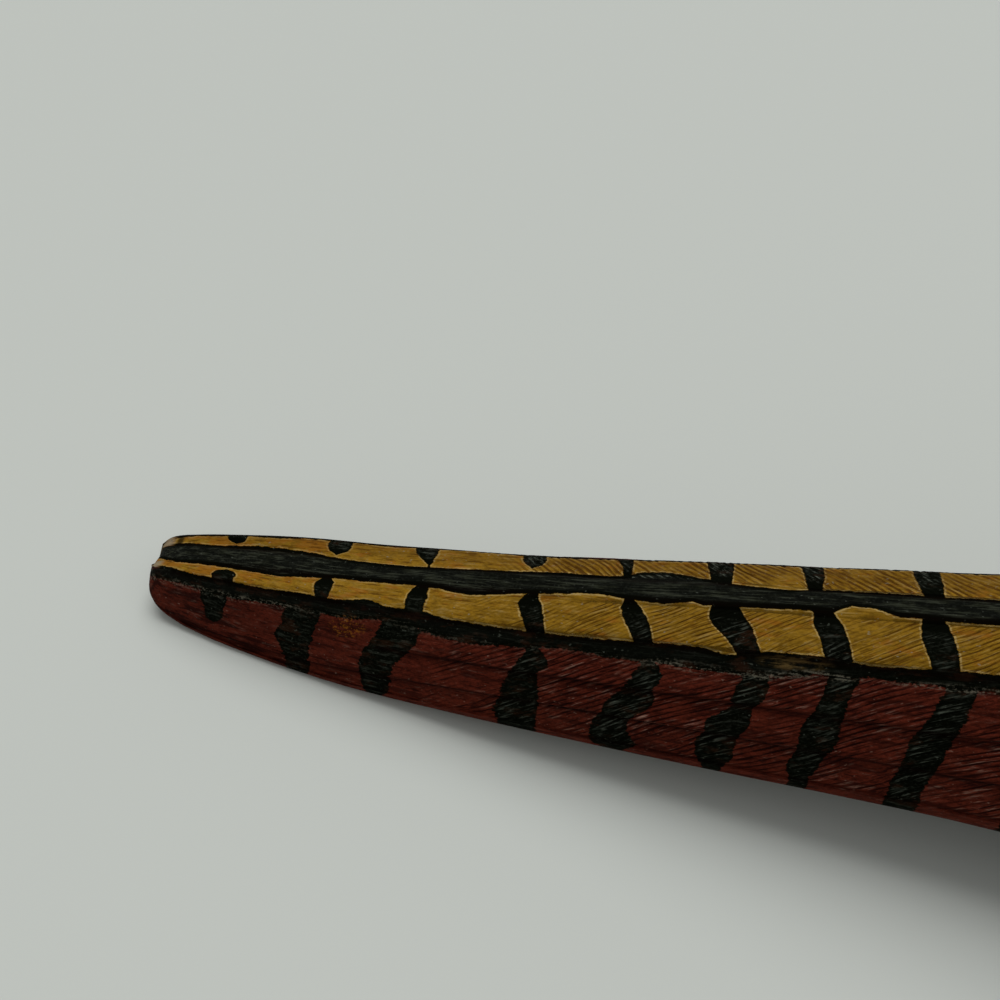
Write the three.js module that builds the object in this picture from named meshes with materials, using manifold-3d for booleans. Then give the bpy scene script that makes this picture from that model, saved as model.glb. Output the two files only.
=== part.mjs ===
// A hand-carved and painted wooden cock pheasant. It sits on its flat belly with its head up and its long tail
// laid out behind it, and the end of the tail lies on the surface that it sits on.
// Millimetres. +X runs from the tail to the beak, +Z is up, and the origin is on that surface, under the middle
// of the bird's length. Places along the bird are given from the end of its quill, and moved at the end.
// The carving is one piece of wood: a skin lofted through sections, with the wings and the rump standing out.
import * as THREE from "three";
import { mergeVertices } from "three/addons/utils/BufferGeometryUtils.js";
import Module from "manifold-3d";

// Driving sizes.
const LENGTH = 400; // tail tip to beak tip
const HALF_WIDTH = 42; // of the body, at its widest
const QUILL_HALF_WIDTH = 3; // the quill runs down the middle of the tail
const TAIL_STEP = 0.45; // half of the step from each of the tail's feathers down to the next
const TAIL_STEP_REACH = 3.2; // how far on each side of a step the feathers bend to it
const STEP_WIDTH = 0.5; // half width of a step's own slope
const NOTCH = 1.3; // the quill ends this far short of the feathers beside it
const WING_THICKNESS = 2.8; // how far the folded wing stands out of the flank
const COVERT_THICKNESS = 1.5; // how far the wing's small feathers stand over its long ones
const RUMP_THICKNESS = 1.6;
const FEATHER_STEP = 0.5; // half of the step between the wing's long feathers
const SET_IN = 3; // how deep the wing and the rump reach into the body, so that they are one with it
const WATTLE_THICKNESS = 0.9;
const EYE_RADIUS = 2.7;
const EYE_OUT = -0.5; // of the eye's middle, from the skin
const TUFT_RADII = [6.5, 2.1, 2]; // along the head, down it, and out of it
const TUFT_OUT = -0.2;
const BEAK_STEP = 0.5; // from the face down to the beak
const MOUTH_DEPTH = 0.6;

// Sections from the tail's tip to the beak's. Each is a plane across the bird, given by where it meets the back
// and the underside, seen from the side: [back x, back z, underside x, underside z, half width, and the share of
// its height at which it is widest].
const SECTIONS = [
  [-1.3, 7.8, -1.3, 3.6, 5.3, 0.3],
  [0, 8.8, 0, 2, 8.2, 0.24],
  [2.5, 9.7, 2.5, 0.9, 9.7, 0.18],
  [6, 10.7, 6, 0, 10.6, 0.15],
  [12, 12.1, 12, -0.7, 11.8, 0.13],
  [20, 13.6, 20, -1, 13.1, 0.11],
  [35, 16.1, 35, -1, 15, 0.1],
  [50, 18.6, 50, -0.5, 16.5, 0.11],
  [70, 22.6, 70, 1.4, 18, 0.12],
  [90, 27.1, 90, 3.8, 19.3, 0.12],
  [115, 33.1, 115, 6.9, 20.6, 0.11],
  [140, 38.7, 140, 10.2, 21.8, 0.11],
  [160, 43.3, 160, 12.6, 23, 0.12],
  [178, 47.8, 178, 13.6, 25, 0.16],
  [195, 53, 195, 12.2, 28.4, 0.22],
  [211, 59, 211, 8.4, 32.6, 0.29],
  [227, 66, 227, 3.4, 36.6, 0.35],
  [243, 73, 243, -0.9, 39.4, 0.39],
  [260, 79.2, 260, -3, 41, 0.42],
  [280, 84.6, 280, -3.4, HALF_WIDTH, 0.44],
  [298, 87.6, 300, -3.4, HALF_WIDTH, 0.45],
  [313, 89.4, 320, -3, 41.2, 0.45],
  [323, 91.4, 338, -1.6, 39.4, 0.45],
  [330.4, 94.6, 353.4, 5, 36.4, 0.46],
  [335.4, 98.6, 365.4, 18, 32.4, 0.47],
  [339, 103.2, 373.6, 35, 28, 0.48],
  [341.8, 108.6, 377.6, 53, 23.8, 0.49],
  [343.8, 114.6, 377.2, 70, 20, 0.5],
  [345.2, 120.6, 374.4, 85, 16.8, 0.5],
  [346.6, 126.6, 372, 97, 14.4, 0.5],
  [349, 132.8, 371.4, 106, 12.8, 0.5],
  [353.2, 138.8, 373.2, 113, 11.9, 0.51],
  [359, 143.3, 376.6, 117.6, 11.5, 0.52],
  [365.4, 145.7, 380.6, 120.6, 11.3, 0.53],
  [372, 146, 384, 122.6, 10.7, 0.53],
  [378.2, 144, 386.4, 123.8, 9.3, 0.52],
  [383, 140.8, 388.2, 124.6, 7.2, 0.5],
  [386.6, 138.4, 390.2, 125.2, 5.3, 0.48],
  [390.8, 136, 392.8, 125.8, 3.9, 0.46],
  [394.6, 132.6, 395.2, 126, 2.5, 0.46],
  [397, 129.4, 396.9, 126.2, 1.2, 0.46],
];
const TAIL_TIP = [-1.8, 5.6];
const BEAK_TIP = [LENGTH + TAIL_TIP[0], 127.2];

// The skin's long lines. A line keeps its number from the tail to the head, from 0 at the back's middle to 1 at
// the underside's. These are the edges of the tail's feathers.
const QUILL = 0.1;
const VANE = 0.27; // edge of the feather that the quill runs down
const SIDE_A = 0.42;
const SIDE_B = 0.54;
const SIDE_C = 0.66;
const RIM = 0.73; // the tail's lower edge

// The tail's section at its tip and at its root: [line, share of the half width, level]. Level 1 is the back's,
// 0 is where the section is widest, and -1 is the underside's.
const QUILL_LEVEL = 0.99;
const TIP_SECTION = [
  [0, 0, 1],
  [VANE, 0.5, 0.99],
  [SIDE_A, 0.76, 0.58],
  [SIDE_B, 0.94, 0.15],
  [SIDE_C, 0.98, 0.04],
  [RIM, 1, 0],
  [0.8, 0.9, -0.72],
  [0.9, 0.5, -0.95],
  [1, 0, -1],
];
const ROOT_SECTION = [
  [0, 0, 1],
  [VANE, 0.49, 0.88],
  [SIDE_A, 0.76, 0.58],
  [SIDE_B, 0.9, 0.33],
  [SIDE_C, 0.98, 0.08],
  [RIM, 1, 0],
  [0.8, 0.9, -0.72],
  [0.9, 0.5, -0.95],
  [1, 0, -1],
];
const ROOT_SECTION_FROM = [10, 90];

// How far round the body's oval each line lies, in half turns.
const BODY_LINES = [
  [0, 0],
  [QUILL, 0.075],
  [VANE, 0.22],
  [SIDE_A, 0.37],
  [SIDE_B, 0.47],
  [SIDE_C, 0.57],
  [RIM, 0.635],
  [1, 1],
];
const BACK_SQUARENESS = 2.1; // 2 is a true oval
const BELLY_SQUARENESS = 2.5;
const TAIL_ENDS = 168; // the tail's section turns into the body's from here
const BODY_STARTS = 232;
const NECK_STARTS = 328; // the lines spread evenly from here
const HEAD_STARTS = 350;

// The tail's steps: the line of each, and how far from the tip its feather starts to show.
const TAIL_STEPS = [
  { line: QUILL, from: 0, depth: 0.8 },
  { line: VANE, from: 0, depth: 1 },
  { line: SIDE_A, from: 52, depth: 1 },
  { line: SIDE_B, from: 4, depth: 1 },
  { line: SIDE_C, from: 88, depth: 0.6 },
];

// The edges of what stands out of the skin: [along, upper line, lower line].
const WING_EDGES = [
  [197, 0.395, 0.42],
  [212, 0.355, 0.48],
  [235, 0.3, 0.565],
  [262, 0.262, 0.635],
  [292, 0.245, 0.685],
  [318, 0.26, 0.69],
  [334, 0.3, 0.665],
  [343, 0.36, 0.61],
  [347, 0.43, 0.54],
];
const COVERT_EDGES = [
  [277, 0.42, 0.5],
  [280, 0.35, 0.585],
  [288, 0.29, 0.645],
  [302, 0.256, 0.678],
  [318, 0.254, 0.696],
  [334, 0.294, 0.671],
  [344, 0.354, 0.616],
  [349, 0.425, 0.545],
];
const RUMP_EDGES = [
  [160, -0.03, 0.03],
  [164, -0.11, 0.11],
  [174, -0.2, 0.2],
  [190, -0.27, 0.27],
  [212, -0.3, 0.3],
  [240, -0.28, 0.28],
  [252, -0.24, 0.24],
];
const WATTLE_EDGES = [
  [367, 0.5, 0.56],
  [368.5, 0.41, 0.64],
  [372, 0.35, 0.7],
  [377, 0.32, 0.73],
  [382, 0.34, 0.71],
  [385.4, 0.4, 0.63],
  [386.6, 0.47, 0.55],
];
const RUMP_FADES = [205, 246]; // the rump sinks into the back here
const RUMP_SINKS_TO = -0.6;
const WING_TIP_THINS = [215, 197]; // the wing is thinner towards its tip, down to this share
const WING_TIP_SHARE = 0.6;
const SHOULDER_THINS = [312, 349]; // and towards the shoulder
const SHOULDER_SHARE = 0.2;
const WING_FEATHERS = 5;

// Places on the head: [along, line].
const EYE = [377.6, 0.41];
const TUFT = [364.6, 0.24];
const BEAK_FROM = 386.4;
const MOUTH_LINE = 0.62;
const MOUTH_FROM = 383;

const smooth = (low, high, x) => THREE.MathUtils.smoothstep(x, low, high);
const mix = THREE.MathUtils.lerp;
const clamp = THREE.MathUtils.clamp;
const evenly = (n, low, high) => Array.from({ length: n + 1 }, (_, i) => mix(low, high, i / n));

// A smooth curve through rows of numbers, at a row number that need not be whole.
function through(rows, at) {
  const i = Math.min(rows.length - 2, Math.max(0, Math.floor(at)));
  const t = at - i;
  const row = (k) => rows[Math.min(rows.length - 1, Math.max(0, k))];
  return rows[i].map((_, n) => {
    const [a, b, c, d] = [row(i - 1)[n], row(i)[n], row(i + 1)[n], row(i + 2)[n]];
    return b + 0.5 * t * (c - a + t * (2 * a - 5 * b + 4 * c - d + t * (3 * (b - c) + d - a)));
  });
}

// The same, with each row's first number as its place.
function lookUp(rows, place) {
  let i = 0;
  while (i < rows.length - 2 && rows[i + 1][0] < place) i++;
  const t = (place - rows[i][0]) / (rows[i + 1][0] - rows[i][0]);
  return through(rows, i + t).slice(1);
}

// The section's middle there, and the section number whose middle lies that far along.
function middleOf(at) {
  const [backX, backZ, underX, underZ] = through(SECTIONS, at);
  return [(backX + underX) / 2, (backZ + underZ) / 2];
}

function sectionAt(along) {
  let [low, high] = [0, SECTIONS.length - 1];
  while (high - low > 1e-4) {
    const half = (low + high) / 2;
    if (middleOf(half)[0] < along) low = half;
    else high = half;
  }
  return low;
}

// Half width and level of a line on the tail, as shares of the section's.
function tailPoint(line, along, halfWidth) {
  const quill = [QUILL, QUILL_HALF_WIDTH / halfWidth, QUILL_LEVEL];
  const withQuill = ([middle, ...others]) => [middle, quill, ...others];
  const atTip = lookUp(withQuill(TIP_SECTION), line);
  const atRoot = lookUp(withQuill(ROOT_SECTION), line);
  const rootShare = smooth(...ROOT_SECTION_FROM, along);
  return [mix(atTip[0], atRoot[0], rootShare), mix(atTip[1], atRoot[1], rootShare)];
}

// The same on the body and head, where the section is an oval with a squarer underside.
function bodyPoint(line, along) {
  const [onBody] = lookUp(BODY_LINES, line);
  const angle = Math.PI * mix(onBody, line, smooth(NECK_STARTS, HEAD_STARTS, along));
  const upper = angle < Math.PI / 2;
  const power = 2 / (upper ? BACK_SQUARENESS : BELLY_SQUARENESS);
  const across = Math.pow(Math.abs(Math.sin(angle)), power);
  const level = Math.pow(Math.abs(Math.cos(angle)), power) * (upper ? 1 : -1);
  return [across, level];
}

// A point of the smooth skin, at a section number and a line, which is below 0 on the right side of the bird.
function skin(at, signedLine) {
  const line = Math.abs(signedLine);
  const [backX, backZ, underX, underZ, halfWidth, widest] = through(SECTIONS, at);
  const along = (backX + underX) / 2;
  const tail = tailPoint(line, along, halfWidth);
  const body = bodyPoint(line, along);
  const bodyShare = smooth(TAIL_ENDS, BODY_STARTS, along);
  const across = mix(tail[0], body[0], bodyShare);
  const level = mix(tail[1], body[1], bodyShare);
  const height = level > 0 ? mix(widest, 1, level) : mix(widest, 0, -level);
  const notch = NOTCH * (1 - smooth(0, 2 * QUILL, line)) * (1 - smooth(-1, 4, along));
  return new THREE.Vector3(
    mix(underX, backX, height) + notch,
    Math.sign(signedLine) * halfWidth * across,
    mix(underZ, backZ, height),
  );
}

// The directions there: along the bird, down round it, and out of the skin.
function directions(at, line) {
  const step = 1e-3;
  const last = SECTIONS.length - 1;
  const [lowAt, highAt] = [Math.max(0, at - step), Math.min(last, at + step)];
  const alongBird = skin(highAt, line).sub(skin(lowAt, line)).normalize();
  const roundBird = skin(at, line + step).sub(skin(at, line - step)).normalize();
  const out = alongBird.clone().cross(roundBird).normalize();
  return [alongBird, out.clone().cross(alongBird), out];
}

// That point, moved out of the skin.
const lifted = (at, line, lift) => skin(at, line).addScaledVector(directions(at, line)[2], lift);

// Millimetres of skin for each whole line number.
function lineLength(at) {
  const [, backZ, , underZ, halfWidth] = through(SECTIONS, at);
  return 0.55 * Math.PI * Math.hypot((backZ - underZ) / 2, halfWidth);
}

// The height of a shingled step at a distance past it: up to 1 before it, and down to -1 after it.
function shingle(distance, reach) {
  const bend = Math.max(0, 1 - Math.abs(distance) / reach);
  return -bend * clamp(distance / STEP_WIDTH, -1, 1);
}

// How far the carving of the tail and the beak stands out of the smooth skin.
function relief(at, signedLine) {
  const line = Math.abs(signedLine);
  const [along] = middleOf(at);
  const perLine = lineLength(at);
  let out = 0;
  for (const step of TAIL_STEPS) {
    const shows = smooth(step.from - 2, step.from + 16, along);
    const fades = 1 - smooth(TAIL_ENDS + 20, TAIL_ENDS + 50, along);
    const height = shingle((line - step.line) * perLine, TAIL_STEP_REACH);
    out += TAIL_STEP * step.depth * shows * fades * height;
  }
  const mouth = Math.max(0, 1 - Math.abs(line - MOUTH_LINE) / 0.06);
  out -= MOUTH_DEPTH * mouth * smooth(MOUTH_FROM, MOUTH_FROM + 5, along);
  return out - BEAK_STEP * smooth(BEAK_FROM, BEAK_FROM + 1, along);
}

// Section numbers for the rows of faces: closer together where the bird is small and finely shaped.
function rowSections() {
  const spacing = (x) => {
    if (x < 6) return 1.6;
    if (x < TAIL_ENDS) return 9;
    if (x < NECK_STARTS) return 7;
    return x < BEAK_FROM - 2 ? 3.6 : 1.3;
  };
  const found = [0];
  let walked = 0;
  let before = middleOf(0);
  for (let at = 0.01; at < SECTIONS.length - 1; at += 0.01) {
    const now = middleOf(at);
    walked += Math.hypot(now[0] - before[0], now[1] - before[1]);
    before = now;
    if (walked < spacing(now[0])) continue;
    found.push(at);
    walked = 0;
  }
  return [...found, SECTIONS.length - 1];
}

// Lines for the columns of faces: one on each side of a step, and a few between.
function columnLines() {
  const beside = 0.014;
  const atSteps = TAIL_STEPS.flatMap(({ line }) => [line - beside, line + beside]);
  const between = [0.185, 0.345, 0.48, 0.6, RIM, 0.79, 0.86, 0.93];
  const left = [...atSteps, ...between].sort((a, b) => a - b);
  return [0, ...left, 1, ...left.map((line) => -line).reverse()];
}

function closedGeometry(positions, faces) {
  return new THREE.BufferGeometry()
    .setAttribute("position", new THREE.Float32BufferAttribute(positions, 3))
    .setIndex(faces);
}

// The skin as one closed surface: rings of faces, with a fan of them at each tip.
function skinGeometry() {
  const lines = columnLines();
  const sections = rowSections();
  const n = lines.length;
  const positions = [];
  const faces = [];
  for (const at of sections)
    for (const line of lines) positions.push(...lifted(at, line, relief(at, line)).toArray());
  for (let i = 0; i + 1 < sections.length; i++)
    for (let j = 0; j < n; j++) {
      const [a, b] = [i * n + j, i * n + ((j + 1) % n)];
      faces.push(a, a + n, b, b, a + n, b + n);
    }
  const tips = positions.length / 3;
  positions.push(TAIL_TIP[0], 0, TAIL_TIP[1], BEAK_TIP[0], 0, BEAK_TIP[1]);
  const lastRing = (sections.length - 1) * n;
  for (let j = 0; j < n; j++) {
    const next = (j + 1) % n;
    faces.push(tips, j, next);
    faces.push(tips + 1, lastRing + next, lastRing + j);
  }
  return closedGeometry(positions, faces);
}

// A layer that stands out of the skin between two edges. Places across it run from 0 at its upper edge to 1 at
// its lower one. Its inner face lies in the body.
function layerGeometry(edges, stations, places, liftAt) {
  const positions = [];
  const faces = [];
  const n = places.length;
  for (const inner of [false, true])
    for (const along of stations) {
      const [upper, lower] = lookUp(edges, along);
      const at = sectionAt(along);
      for (const place of places) {
        const lift = inner ? -SET_IN : liftAt(along, place, (lower - upper) * lineLength(at));
        positions.push(...lifted(at, mix(upper, lower, place), lift).toArray());
      }
    }
  const under = stations.length * n;
  const quad = (a, b, c, d) => faces.push(a, b, d, b, c, d);
  for (let i = 0; i + 1 < stations.length; i++) {
    for (let j = 0; j + 1 < n; j++) {
      const a = i * n + j;
      quad(a, a + n, a + n + 1, a + 1);
      quad(under + a, under + a + 1, under + a + n + 1, under + a + n);
    }
    const [first, last] = [i * n, i * n + n - 1];
    quad(first, under + first, under + first + n, first + n);
    quad(last, last + n, under + last + n, under + last);
  }
  const front = (stations.length - 1) * n;
  for (let j = 0; j + 1 < n; j++) {
    quad(j, j + 1, under + j + 1, under + j);
    quad(front + j, under + front + j, under + front + j + 1, front + j + 1);
  }
  return closedGeometry(positions, faces);
}

// How full a layer is across: a little lower at its edges, so that they look rounded.
const rounded = (place) => mix(0.72, 1, smooth(0, 0.12, Math.min(place, 1 - place)));

// 0 before a stretch of the bird and 1 past it, whichever way it runs.
const thinning = ([from, to], along) => smooth(0, 1, (along - from) / (to - from));

function wingLift(along, place, span) {
  const tipThins = mix(1, WING_TIP_SHARE, thinning(WING_TIP_THINS, along));
  const thins = tipThins * mix(1, SHOULDER_SHARE / 2, thinning(SHOULDER_THINS, along));
  const height = WING_THICKNESS * rounded(place) * thins;
  let steps = 0;
  for (let k = 1; k < WING_FEATHERS; k++)
    steps += shingle((place - k / WING_FEATHERS) * span, 0.7 * (span / WING_FEATHERS));
  return height + FEATHER_STEP * steps * Math.min(1, span / 25);
}

function covertLift(along, place) {
  const height = WING_THICKNESS + COVERT_THICKNESS * rounded(place);
  return height * mix(1, SHOULDER_SHARE, thinning(SHOULDER_THINS, along));
}

const wattleLift = (along, place) => WATTLE_THICKNESS * rounded(place);

const rumpLift = (along, place) =>
  mix(RUMP_THICKNESS * rounded(place), RUMP_SINKS_TO, thinning(RUMP_FADES, along));

// The columns of the wing's faces, one on each side of a step between its feathers.
function wingPlaces() {
  const beside = 0.018;
  const steps = evenly(WING_FEATHERS, 0, 1).slice(1, -1);
  const atSteps = steps.flatMap((place) => [place - beside, place + beside]);
  return [0, 0.06, ...atSteps, 0.94, 1];
}

const stationsOf = (edges, spacing) => {
  const [first, last] = [edges[0][0], edges[edges.length - 1][0]];
  return evenly(Math.round((last - first) / spacing), first, last);
};

const wasm = await Module();
wasm.setup();

function toSolid(geometry) {
  const bare = closedGeometry(geometry.attributes.position.array, [...geometry.index.array]);
  const merged = mergeVertices(bare, 1e-4);
  const vertProperties = merged.attributes.position.array;
  const triVerts = new Uint32Array(merged.index.array);
  return new wasm.Manifold(new wasm.Mesh({ numProp: 3, vertProperties, triVerts }));
}

function toGeometry(solid) {
  const { vertProperties, triVerts } = solid.getMesh();
  return new THREE.BufferGeometry()
    .setAttribute("position", new THREE.BufferAttribute(vertProperties, 3))
    .setIndex(new THREE.BufferAttribute(triVerts, 1));
}

// A layer on the left side of the bird, and the same one on the right.
function bothSides(edges, spacing, places, liftAt) {
  const stations = stationsOf(edges, spacing);
  const left = toSolid(layerGeometry(edges, stations, places, liftAt));
  return [left, left.mirror([0, 1, 0])];
}

// A bump on the left side of the head, and the same one on the right.
function bumps([along, line], out, radii) {
  const at = sectionAt(along);
  const turn = new THREE.Matrix4().makeBasis(...directions(at, line));
  const ball = new THREE.SphereGeometry(1, 14, 8).scale(...radii).applyMatrix4(turn);
  const left = toSolid(ball.translate(...lifted(at, line, out).toArray()));
  return [left, left.mirror([0, 1, 0])];
}

const layers = [
  ...bothSides(WING_EDGES, 7, wingPlaces(), wingLift),
  ...bothSides(COVERT_EDGES, 6, [0, 0.08, 0.3, 0.5, 0.7, 0.92, 1], covertLift),
  ...bothSides(WATTLE_EDGES, 2.5, [0, 0.1, 0.37, 0.63, 0.9, 1], wattleLift),
  ...bumps(EYE, EYE_OUT, [EYE_RADIUS, EYE_RADIUS, EYE_RADIUS]),
  ...bumps(TUFT, TUFT_OUT, TUFT_RADII),
  toSolid(
    layerGeometry(RUMP_EDGES, stationsOf(RUMP_EDGES, 8), [0, 0.06, 0.25, 0.5, 0.75, 0.94, 1], rumpLift),
  ),
];

// What lies below the surface that the bird sits on is cut off flat, which leaves the flat belly.
const underSurface = toSolid(new THREE.BoxGeometry(2 * LENGTH, 200, 40).translate(LENGTH / 2, 0, -20));
const whole = layers.reduce((body, layer) => body.add(layer), toSolid(skinGeometry()));
const geometry = toGeometry(whole.subtract(underSurface));
geometry.translate(-(TAIL_TIP[0] + BEAK_TIP[0]) / 2, 0, 0).computeVertexNormals();

const bird = new THREE.Mesh(
  geometry,
  new THREE.MeshStandardMaterial({ color: 0x6b2a1c, roughness: 0.5, metalness: 0 }),
);
bird.name = "pheasant";

const pheasantCarving = new THREE.Group();
pheasantCarving.add(bird);
export default pheasantCarving;
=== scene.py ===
# The looks of a hand-carved and painted wooden cock pheasant, built around its packed form.
# Sizes are in millimetres until a mesh is made. Places along the bird are given from the end of its quill.
import math

import bpy
import numpy as np
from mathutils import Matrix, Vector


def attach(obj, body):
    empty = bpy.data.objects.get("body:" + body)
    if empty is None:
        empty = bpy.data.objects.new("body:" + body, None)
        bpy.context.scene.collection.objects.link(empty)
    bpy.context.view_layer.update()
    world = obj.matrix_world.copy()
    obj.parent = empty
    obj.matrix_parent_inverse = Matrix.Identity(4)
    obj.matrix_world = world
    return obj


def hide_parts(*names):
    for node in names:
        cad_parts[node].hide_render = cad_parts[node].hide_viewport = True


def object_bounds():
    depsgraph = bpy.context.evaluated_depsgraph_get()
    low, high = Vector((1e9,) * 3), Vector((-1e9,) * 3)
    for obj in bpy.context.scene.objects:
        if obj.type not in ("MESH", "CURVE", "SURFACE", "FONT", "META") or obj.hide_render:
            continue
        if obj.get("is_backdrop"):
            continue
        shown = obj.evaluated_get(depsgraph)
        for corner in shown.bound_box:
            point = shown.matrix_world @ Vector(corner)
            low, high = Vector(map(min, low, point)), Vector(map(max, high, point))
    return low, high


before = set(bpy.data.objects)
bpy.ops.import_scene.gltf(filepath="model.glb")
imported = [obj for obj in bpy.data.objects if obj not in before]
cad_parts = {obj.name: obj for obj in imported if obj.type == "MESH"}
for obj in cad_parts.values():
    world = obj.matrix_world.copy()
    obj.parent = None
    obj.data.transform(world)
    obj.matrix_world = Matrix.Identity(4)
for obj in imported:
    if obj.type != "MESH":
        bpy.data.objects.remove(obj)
cad_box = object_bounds()

# The form, as the solid has it.
MIDDLE = 198.2  # from the quill's end to the middle of the bird's length
HALF_WIDTH = 42
QUILL_HALF_WIDTH = 3
TAIL_STEP = 0.45  # half of the step from each of the tail's feathers down to the next
TAIL_STEP_REACH = 3.2  # how far on each side of a step the feathers bend to it
STEP_WIDTH = 0.22  # half width of a step's own slope
NOTCH = 0.45  # the quill ends this far short of the feathers beside it
TIP_SLANT = 1.2  # how much farther back the tip runs on the left
TIP_FLARE = 0.9  # how much wider the tip is on the left
TIP_ROUNDING = 0.9  # how far the tip's lower rim is rounded back
WING_THICKNESS = 2.8  # how far the folded wing stands out of the flank
COVERT_THICKNESS = 1.5  # and its small feathers out of its long ones
RUMP_THICKNESS = 1.6
FEATHER_STEP = 0.5  # half of the step between the wing's long feathers
SET_IN = 3.0  # how deep the wing and the rump reach into the body
WATTLE_THICKNESS = 0.9
EYE_RADIUS = 2.7
EYE_OUT, TUFT_OUT = -0.5, -0.2  # of their middles, from the skin
TUFT_RADII = (6.5, 2.1, 2)  # along the head, down it, and out of it
BEAK_STEP = 0.5
MOUTH_DEPTH = 0.6
NOSTRIL_DEPTH = 0.5

# Sections from the tail's tip to the beak's: back x, back z, underside x, underside z, half width, and the
# share of the height at which it is widest.
SECTIONS = np.array([
    [-1.3, 7.8, -1.3, 3.6, 5.3, 0.3],
    [0, 8.8, 0, 2, 8.2, 0.24],
    [2.5, 9.7, 2.5, 0.9, 9.7, 0.18],
    [6, 10.7, 6, 0, 10.6, 0.15],
    [12, 12.1, 12, -0.7, 11.8, 0.13],
    [20, 13.6, 20, -1, 13.1, 0.11],
    [35, 16.1, 35, -1, 15, 0.1],
    [50, 18.6, 50, -0.5, 16.5, 0.11],
    [70, 22.6, 70, 1.4, 18, 0.12],
    [90, 27.1, 90, 3.8, 19.3, 0.12],
    [115, 33.1, 115, 6.9, 20.6, 0.11],
    [140, 38.7, 140, 10.2, 21.8, 0.11],
    [160, 43.3, 160, 12.6, 23, 0.12],
    [178, 47.8, 178, 13.6, 25, 0.16],
    [195, 53, 195, 12.2, 28.4, 0.22],
    [211, 59, 211, 8.4, 32.6, 0.29],
    [227, 66, 227, 3.4, 36.6, 0.35],
    [243, 73, 243, -0.9, 39.4, 0.39],
    [260, 79.2, 260, -3, 41, 0.42],
    [280, 84.6, 280, -3.4, HALF_WIDTH, 0.44],
    [298, 87.6, 300, -3.4, HALF_WIDTH, 0.45],
    [313, 89.4, 320, -3, 41.2, 0.45],
    [323, 91.4, 338, -1.6, 39.4, 0.45],
    [330.4, 94.6, 353.4, 5, 36.4, 0.46],
    [335.4, 98.6, 365.4, 18, 32.4, 0.47],
    [339, 103.2, 373.6, 35, 28, 0.48],
    [341.8, 108.6, 377.6, 53, 23.8, 0.49],
    [343.8, 114.6, 377.2, 70, 20, 0.5],
    [345.2, 120.6, 374.4, 85, 16.8, 0.5],
    [346.6, 126.6, 372, 97, 14.4, 0.5],
    [349, 132.8, 371.4, 106, 12.8, 0.5],
    [353.2, 138.8, 373.2, 113, 11.9, 0.51],
    [359, 143.3, 376.6, 117.6, 11.5, 0.52],
    [365.4, 145.7, 380.6, 120.6, 11.3, 0.53],
    [372, 146, 384, 122.6, 10.7, 0.53],
    [378.2, 144, 386.4, 123.8, 9.3, 0.52],
    [383, 140.8, 388.2, 124.6, 7.2, 0.5],
    [386.6, 138.4, 390.2, 125.2, 5.3, 0.48],
    [390.8, 136, 392.8, 125.8, 3.9, 0.46],
    [394.6, 132.6, 395.2, 126, 2.5, 0.46],
    [397, 129.4, 396.9, 126.2, 1.2, 0.46],
])
LAST = len(SECTIONS) - 1
HEAD_SECTION = 30  # the head lies past this section
RING_SECTION = 27.4  # where the neck's pale ring starts
NECK_RISES = (358, 363)  # between these the neck's middle runs up, and not along
TAIL_TIP = (-1.8, 0, 5.6)
BEAK_TIP = (398.2, 0, 127.2)

# The skin's long lines, from 0 at the back's middle to 1 at the underside's: the edges of the tail's feathers.
QUILL, VANE, SIDE_A, SIDE_B, SIDE_C, RIM = 0.1, 0.27, 0.42, 0.54, 0.66, 0.73
QUILL_LEVEL = 0.99
TIP_SECTION = np.array([
    [0, 0, 1], [QUILL, 0, 0], [VANE, 0.5, 0.99], [SIDE_A, 0.76, 0.58], [SIDE_B, 0.94, 0.15],
    [SIDE_C, 0.98, 0.04], [RIM, 1, 0], [0.8, 0.9, -0.72], [0.9, 0.5, -0.95], [1, 0, -1],
])
ROOT_SECTION = np.array([
    [0, 0, 1], [QUILL, 0, 0], [VANE, 0.49, 0.88], [SIDE_A, 0.76, 0.58], [SIDE_B, 0.9, 0.33],
    [SIDE_C, 0.98, 0.08], [RIM, 1, 0], [0.8, 0.9, -0.72], [0.9, 0.5, -0.95], [1, 0, -1],
])
BODY_LINES = np.array([
    [0, 0], [QUILL, 0.075], [VANE, 0.22], [SIDE_A, 0.37], [SIDE_B, 0.47], [SIDE_C, 0.57], [RIM, 0.635], [1, 1],
])
BACK_SQUARENESS, BELLY_SQUARENESS = 2.1, 2.5
TAIL_ENDS, BODY_STARTS, NECK_STARTS, HEAD_STARTS = 168, 232, 328, 350
QUILL_EDGE = 0.08
TAIL_STEPS = ((QUILL_EDGE, 0, 0.3), (VANE, 0, 0.6), (SIDE_A, 52, 1), (SIDE_B, 4, 1), (SIDE_C, 88, 0.2))
WING_EDGES = np.array([
    [197, 0.395, 0.42], [212, 0.355, 0.48], [235, 0.3, 0.565], [262, 0.262, 0.635], [292, 0.245, 0.685],
    [318, 0.26, 0.69], [334, 0.3, 0.665], [343, 0.36, 0.61], [347, 0.43, 0.54],
])
COVERT_EDGES = np.array([
    [277, 0.42, 0.5], [280, 0.35, 0.585], [288, 0.29, 0.645], [302, 0.256, 0.678], [318, 0.254, 0.696],
    [334, 0.294, 0.671], [344, 0.354, 0.616], [349, 0.425, 0.545],
])
RUMP_EDGES = np.array([
    [160, -0.03, 0.03], [164, -0.11, 0.11], [174, -0.2, 0.2], [190, -0.27, 0.27], [212, -0.3, 0.3],
    [240, -0.28, 0.28], [252, -0.24, 0.24],
])
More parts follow.
